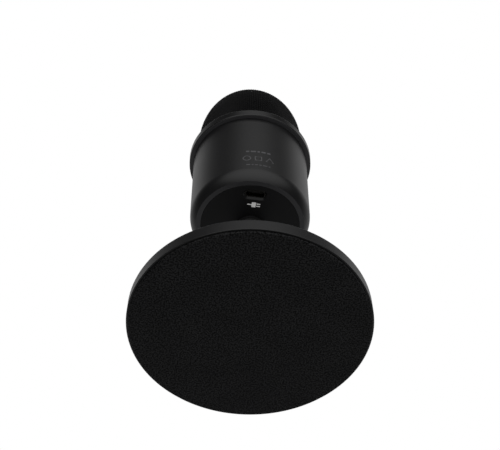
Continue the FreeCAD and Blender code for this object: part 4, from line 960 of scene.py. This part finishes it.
@dataclass
class Housing(Assembly):
    """Body shell, underside cover and its sockets, with the printed and etched marks.

    Attributes:
        icon_place: Distance of the plug picture from the axis.
        ink: Thickness of printed ink.
        prong_x, prong_y: Where each prong of the plug starts and ends.
        plug: Left, right and half height of the plug's body.
        plug_corner: Radius of the plug's round corners.
        corner_steps: Straight pieces of each round corner.
        cord: Length and half width of the piece of cord.
        mark_low: Height of the etched field's foot above the shell's foot.
        line: Width of an etched line.
        figures: Each etched figure's sides, place, height, size, line width and turn.
        dashes: Each row's height, thickness and dashes' lengths.
        dash_gap: Space between dashes.
        dash_steps: Flat pieces of each dash.
    """

    icon_place: float = 11.8 * MM
    ink: float = 0.03 * MM
    prong_x: tuple[float, float] = (-2.9 * MM, -1.15 * MM)
    prong_y: tuple[float, float] = (0.35 * MM, 0.85 * MM)
    plug: tuple[float, float, float] = (-0.9 * MM, 1.0 * MM, 1.3 * MM)
    plug_corner: float = 0.45 * MM
    corner_steps: int = 6
    cord: tuple[float, float] = (2.9 * MM, 0.25 * MM)
    mark_low: float = 7.5 * MM
    line: float = 0.45 * MM
    figures: tuple[tuple[int, float, float, float, float, float], ...] = (
        (40, -5.2 * MM, 6.6 * MM, 1.9 * MM, 1.0, 0.0),
        (4, 0.0, 6.6 * MM, 2.3 * MM, 1.3, QUARTER / 2),
        (3, 5.2 * MM, 6.2 * MM, 2.3 * MM, 1.4, QUARTER),
    )
    dashes: tuple[tuple[float, float, tuple[float, ...]], ...] = (
        (1.2 * MM, 0.55 * MM, (1.6, 0.8, 1.2, 1.0, 1.9, 0.7)),
        (11.4 * MM, 1.1 * MM, (1.5, 2.3, 1.1, 2.0, 1.5)),
    )
    dash_gap: float = 0.7 * MM
    dash_steps: int = 3

    def build(self) -> None:
        """Make the plug picture and the etched marks."""
        self.print_icon()
        self.etch_marks()

    def plate(self, shapes: list[Outline], place: Callable) -> tuple[list, list]:
        """Make thin plates from flat outlines.

        Args:
            shapes: Outlines of three or more points, going round.
            place: Function from (x, y, depth) to a point, with depth 0 on the surface.

        Returns:
            Points and faces.
        """
        points, faces = [], []
        for outline in shapes:
            start, count = len(points), len(outline)
            points += [place(u, v, self.ink) for u, v in outline]
            points += [place(u, v, -self.ink / 3) for u, v in outline]
            faces.append(tuple(range(start, start + count)))
            faces.append(tuple(range(start + 2 * count - 1, start + count - 1, -1)))
            for k in range(count):
                after = (k + 1) % count
                faces.append((start + k, start + count + k, start + count + after, start + after))
        return points, faces

    def bar(self, x0: float, x1: float, y0: float, y1: float) -> Outline:
        """Give the outline of an upright rectangle."""
        return [(x0, y0), (x1, y0), (x1, y1), (x0, y1)]

    def print_icon(self) -> None:
        """Print a plain picture of a plug and its cord beside the socket."""
        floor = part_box("bottom_cap")[0].z
        left, right, half = self.plug
        inset = self.plug_corner
        turns = [QUARTER * k / self.corner_steps for k in range(self.corner_steps + 1)]
        x, y = right - inset, half - inset
        body = [(left, -half)]
        body += [(x + inset * math.sin(a), -y - inset * math.cos(a)) for a in turns]
        body += [(x + inset * math.cos(a), y + inset * math.sin(a)) for a in turns]
        body += [(left, half)]
        y0, y1 = self.prong_y
        reach, thin = self.cord
        shapes = [self.bar(*self.prong_x, y0, y1), self.bar(*self.prong_x, -y1, -y0), body]
        shapes.append(self.bar(right, reach, -thin, thin))
        points, faces = self.plate(
            shapes, lambda u, v, depth: (u, self.icon_place + v, floor - depth)
        )
        icon = mesh_object("plug_picture", points, faces, smooth=False)
        outwards(icon)
        self.wardrobe.dress(icon, WHITE_INK_PAINTED_GLOW)
        self.keep(icon, "marker")

    def figure(
        self, sides: int, middle: float, level: float, size: float, line: float, spin: float
    ) -> list[Outline]:
        """Draw an even-sided figure as a closed line.

        Args:
            sides: How many sides it has.
            middle: Its middle across the wall.
            level: Its middle's height.
            size: From its middle to a corner.
            line: Width of the line, measured at the corners.
            spin: How far it is turned, in radians.

        Returns:
            One outline of four points for each side.
        """
        quads = []
        for k in range(sides):
            a, b = (2 * math.pi * (k + t) / sides + spin for t in (0, 1))
            corners = ((size, a), (size, b), (size - line, b), (size - line, a))
            quads.append([(middle + r * math.cos(t), level + r * math.sin(t)) for r, t in corners])
        return quads

    def dash_row(self, level: float, height: float, lengths: tuple[float, ...]) -> list[Outline]:
        """Draw a row of dashes in the middle of the wall.

        Args:
            level: The row's foot.
            height: The dashes' height.
            lengths: Each dash's length in millimetres.

        Returns:
            A few outlines for each dash, so that it can bend with the wall.
        """
        quads, steps = [], self.dash_steps
        along = -(sum(lengths) * MM + self.dash_gap * (len(lengths) - 1)) / 2
        for length in lengths:
            end = along + length * MM
            for k in range(steps):
                u0 = along + (end - along) * k / steps
                u1 = along + (end - along) * (k + 1) / steps
                quads.append(self.bar(u0, u1, level, level + height))
            along = end + self.dash_gap
        return quads

    def etch_marks(self) -> None:
        """Etch three plain outlines and two rows of dashes on the back of the shell."""
        low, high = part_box("body_shell")
        radius = (high.x - low.x) / 2
        foot = low.z + self.mark_low
        shapes = []
        for sides, middle, level, size, share, spin in self.figures:
            shapes += self.figure(sides, middle, foot + level, size, self.line * share, spin)
        for level, height, lengths in self.dashes:
            shapes += self.dash_row(foot + level, height, lengths)

        def on_wall(u: float, v: float, depth: float) -> tuple[float, float, float]:
            """Bend a point of the flat drawing round the shell."""
            angle = QUARTER + u / radius
            reach = radius + depth
            return (reach * math.cos(angle), reach * math.sin(angle), v)

        points, faces = self.plate(shapes, on_wall)
        marks = mesh_object("etched_marks", points, faces, smooth=False)
        outwards(marks)
        self.wardrobe.dress(marks, ETCHED)
        self.keep(marks, "black_metal")


@dataclass
class Head(Assembly):
    """Collar, wire dome and foam liner.

    Attributes:
        pitch: Distance between crossings of the wire cloth.
        wire: Radius of a wire.
        sides: Faces round a wire.
        weave: How far a wire bends in and out at a crossing, as a share of its radius.
        hem: Height of the plain rolled hem at the cloth's foot.
        hem_wall: Thickness of the hem.
        hem_steps: Faces across the bead on the hem.
        hem_spokes: Faces round the hem.
        tuck: How far the wires' ends reach down inside the hem.
        upright: Height of the dome's upright wall from its seat.
        foam_wall: Thickness of the foam.
        foam_rise: Height of the foam's unevenness.
        foam_seat: Height of the foam's smooth foot.
        foam_rings: Rings of faces on the foam's curve outside, its curve inside and its wall.
        foam_spokes: Faces round the foam.
        seed: Seed of the foam's unevenness.
    """

    pitch: float = 1.1 * MM
    wire: float = 0.17 * MM
    sides: int = 5
    weave: float = 0.95
    hem: float = 3.0 * MM
    hem_wall: float = 0.85 * MM
    hem_steps: int = 8
    hem_spokes: int = 128
    tuck: float = 0.4 * MM
    upright: float = 17.3 * MM
    foam_wall: float = 3.0 * MM
    foam_rise: float = 0.12 * MM
    foam_seat: float = 1.0 * MM
    foam_rings: tuple[int, int, int] = (64, 32, 16)
    foam_spokes: int = 192
    seed: int = 7

    def build(self) -> None:
        """Make the wire cloth, its hem and the foam."""
        low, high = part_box("grille_mesh")
        outer = (high.x - low.x) / 2
        foot, spring = low.z + self.hem - self.tuck, low.z + self.upright
        shape = DomeShape(outer - 2 * self.wire, foot, spring, high.z - 2 * self.wire)
        net = WireNet(shape, self.pitch)
        net.weave()
        tree = wire_tree()
        for along_first, name in ((True, "cloth_wires_across"), (False, "cloth_wires_along")):
            points, edges = net.wires(along_first, self.wire * self.weave)
            piece = mesh_object(name, points, [], edges=edges)
            finish = self.wardrobe.material(PAINTED_WIRE)
            realised(piece, tree, {"Radius": self.wire, "Sides": self.sides, "Finish": finish})
            self.keep(piece, "grille", "grille_mesh")
        self.make_hem(low.z, outer)
        self.make_foam()

    def make_hem(self, foot: float, outer: float) -> None:
        """Make the folded band that holds the wires' ends in the collar.

        Args:
            foot: Height of the band's foot.
            outer: Radius of the dome's outside.
        """
        top = foot + self.hem
        inner = outer - self.hem_wall
        bead = self.hem_wall / 2
        outline = [(inner, foot), (outer, foot), (outer, top - bead)]
        outline += [
            (inner + bead + bead * math.cos(a), top - bead + bead * math.sin(a))
            for a in (math.pi * k / self.hem_steps for k in range(1, self.hem_steps))
        ]
        outline += [(inner, top - bead)]
        band = turned("cloth_hem", outline, self.hem_spokes, closed=True)
        self.wardrobe.dress(band, PAINTED_WIRE)
        self.keep(band, "grille", "grille_mesh")

    def make_foam(self) -> None:
        """Make the porous liner behind the cloth."""
        low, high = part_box("grille_foam")
        outer, wall = (high.x - low.x) / 2 - self.foam_rise, self.foam_wall
        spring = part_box("grille_mesh")[0].z + self.upright
        many, few, straight = self.foam_rings
        outside = DomeShape(outer, low.z, spring, high.z - self.foam_rise).outline(many)
        inside = DomeShape(outer - wall, low.z, spring, high.z - wall).outline(few)
        walls = [(outer, low.z + (spring - low.z) * k / straight) for k in range(1, straight)]
        outline = outside[:1] + walls + outside[1:] + inside[::-1]
        foam = turned("foam_liner", outline, self.foam_spokes)
        rng = np.random.default_rng(self.seed)
        jitter = rng.uniform(-1, 1, len(foam.data.vertices))
        for vertex, push in zip(foam.data.vertices, jitter):
            if vertex.co.z > low.z + self.foam_seat:
                vertex.co += vertex.normal * (push * self.foam_rise)
        self.wardrobe.dress(foam, OPEN_FOAM)
        self.keep(foam, "foam", "grille_foam")


# ---------------------------------------------------------------- studio


@dataclass
class Studio:
    """Pale floor, soft light from all round and the camera.

    Attributes:
        azimuth: Camera's place round the object, in degrees; 0 looks along +Y.
        elevation: Camera's height above the horizon, in degrees.
        distance: From the camera to the point that it aims at.
        aim: Height of that point on the stand's axis.
        lens: Focal length in millimetres for a 36 mm sensor.
        floor_half: Half of the floor's width.
        floor_drop: How far the floor lies below the foot.
        paper: sRGB hex of the floor.
        paper_lift: Strength of the paper's own light, which keeps it pale in the tent.
    """

    azimuth: float = 172.0
    elevation: float = -53.0
    distance: float = 0.520
    aim: float = 0.0700
    lens: float = 83.1
    floor_half: float = 2.5
    floor_drop: float = 0.4 * MM
    paper: str = "dcdcda"
    paper_lift: float = 0.5

    def direction(self, azimuth: float, elevation: float) -> Vector:
        """Give the unit vector towards a place round the object."""
        a, e = math.radians(azimuth), math.radians(elevation)
        return Vector((math.sin(a) * math.cos(e), -math.cos(a) * math.cos(e), math.sin(e)))

    def build(self) -> None:
        """Make the camera, the surrounding light and the floor."""
        data = bpy.data.cameras.new("camera")
        data.lens, data.sensor_width = self.lens, 36.0
        data.clip_start, data.clip_end = 0.01, 20.0
        camera = bpy.data.objects.new("camera", data)
        bpy.context.scene.collection.objects.link(camera)
        back = self.direction(self.azimuth, self.elevation)
        camera.location = Vector((0.0, 0.0, self.aim)) + back * self.distance
        camera.rotation_euler = (-back).to_track_quat("-Z", "Y").to_euler()
        bpy.context.scene.camera = camera
        bpy.context.scene.view_settings.view_transform = "Standard"
        self.surround()
        self.lay_floor()

    def surround(self) -> None:
        """Light the object from a tent with a near and a far panel and a dim glow from below."""
        world = bpy.data.worlds.new("tent")
        bpy.context.scene.world = world
        world.use_nodes = True
        tree = world.node_tree
        tree.nodes.clear()
        place = add(tree, "ShaderNodeTexCoord").outputs["Generated"]
        near = self.lobe(tree, place, NEAR_AT, NEAR_PANEL)
        far = self.lobe(tree, place, FAR_AT, FAR_PANEL)
        below = self.lobe(tree, place, BELOW_AT, BELOW_PANEL)
        panels = add(tree, "ShaderNodeMath", {0: near, 1: far}, operation="MAXIMUM")
        every = add(tree, "ShaderNodeMath", {0: panels, 1: below}, operation="MAXIMUM")
        lit = add(tree, "ShaderNodeBackground", {"Color": every, "Strength": 1.0})
        white = add(tree, "ShaderNodeBackground", {"Color": WHITE, "Strength": 1.0})
        seen = add(tree, "ShaderNodeLightPath").outputs["Is Camera Ray"]
        mix = add(tree, "ShaderNodeMixShader", {0: seen, 1: lit, 2: white})
        add(tree, "ShaderNodeOutputWorld", {"Surface": mix})

    def lobe(
        self,
        tree: bpy.types.NodeTree,
        place: bpy.types.NodeSocket,
        towards: tuple[float, float],
        stops: tuple[tuple[float, float], ...],
    ) -> bpy.types.Node:
        """Add one panel of the tent: brightness by the angle from its middle.

        Args:
            tree: The world's node tree.
            place: The direction looked in.
            towards: The panel's middle: azimuth past the camera's and elevation, in degrees.
            stops: (angle in degrees, brightness) pairs.

        Returns:
            The node whose output is the brightness.
        """
        past, elevation = towards
        links = {0: place, 1: self.direction(self.azimuth + past, elevation)}
        dot = add(tree, "ShaderNodeVectorMath", links, operation="DOT_PRODUCT")
        angle = add(tree, "ShaderNodeMath", {0: dot.outputs["Value"]}, operation="ARCCOSINE")
        share = add(tree, "ShaderNodeMath", {0: angle, 1: math.pi}, operation="DIVIDE")
        ramp = add(tree, "ShaderNodeValToRGB", {"Fac": share})
        elements = ramp.color_ramp.elements
        while len(elements) < len(stops):
            elements.new(0.5)
        for element, (degrees, level) in zip(elements, stops):
            element.position = degrees / 180
            element.color = (level, level, level, 1)
        return ramp

    def lay_floor(self) -> None:
        """Lay a pale floor that is seen from above only and lets the light from below through."""
        half = self.floor_half
        corners = [(x * half, y * half, -self.floor_drop) for x, y in SQUARE]
        floor = mesh_object("floor", corners, [(0, 1, 2, 3)], smooth=False)
        material = bpy.data.materials.new("pale_paper")
        material.use_nodes = True
        tree = material.node_tree
        tree.nodes.clear()
        colour = rgba(self.paper)
        diffuse = add(tree, "ShaderNodeBsdfDiffuse", {"Color": colour})
        lift = add(tree, "ShaderNodeEmission", {"Color": colour, "Strength": self.paper_lift})
        paper = add(tree, "ShaderNodeAddShader", {0: diffuse, 1: lift})
        gone = add(tree, "ShaderNodeBsdfTransparent")
        under = add(tree, "ShaderNodeNewGeometry").outputs["Backfacing"]
        mix = add(tree, "ShaderNodeMixShader", {0: under, 1: paper, 2: gone})
        add(tree, "ShaderNodeOutputMaterial", {"Surface": mix})
        floor.data.materials.append(material)
        floor.visible_shadow = False
        floor.visible_diffuse = False
        floor.visible_glossy = False


def main() -> None:
    """Build and dress every sub-assembly, then the studio."""
    logging.basicConfig(level=logging.INFO, format="%(name)s %(message)s")
    wardrobe = Wardrobe()
    bodies = frame["record"]["behaviour"]["bodies"]
    assemblies = [
        Stand(wardrobe, "base", tuple(bodies["base"])),
        Assembly(wardrobe, "knuckle", tuple(bodies["knuckle"])),
        Housing(wardrobe, "mic", tuple(bodies["mic"])),
        Assembly(wardrobe, "volume_knob", tuple(bodies["volume_knob"])),
        Assembly(wardrobe, "mute_button", tuple(bodies["mute_button"])),
        Head(wardrobe, "mic", ()),
    ]
    for assembly in assemblies:
        assembly.dress()
        assembly.build()
        LOG.info("%s done, %d CAD nodes", type(assembly).__name__, len(assembly.nodes))
    Studio().build()


if __name__ == "__main__":
    main()
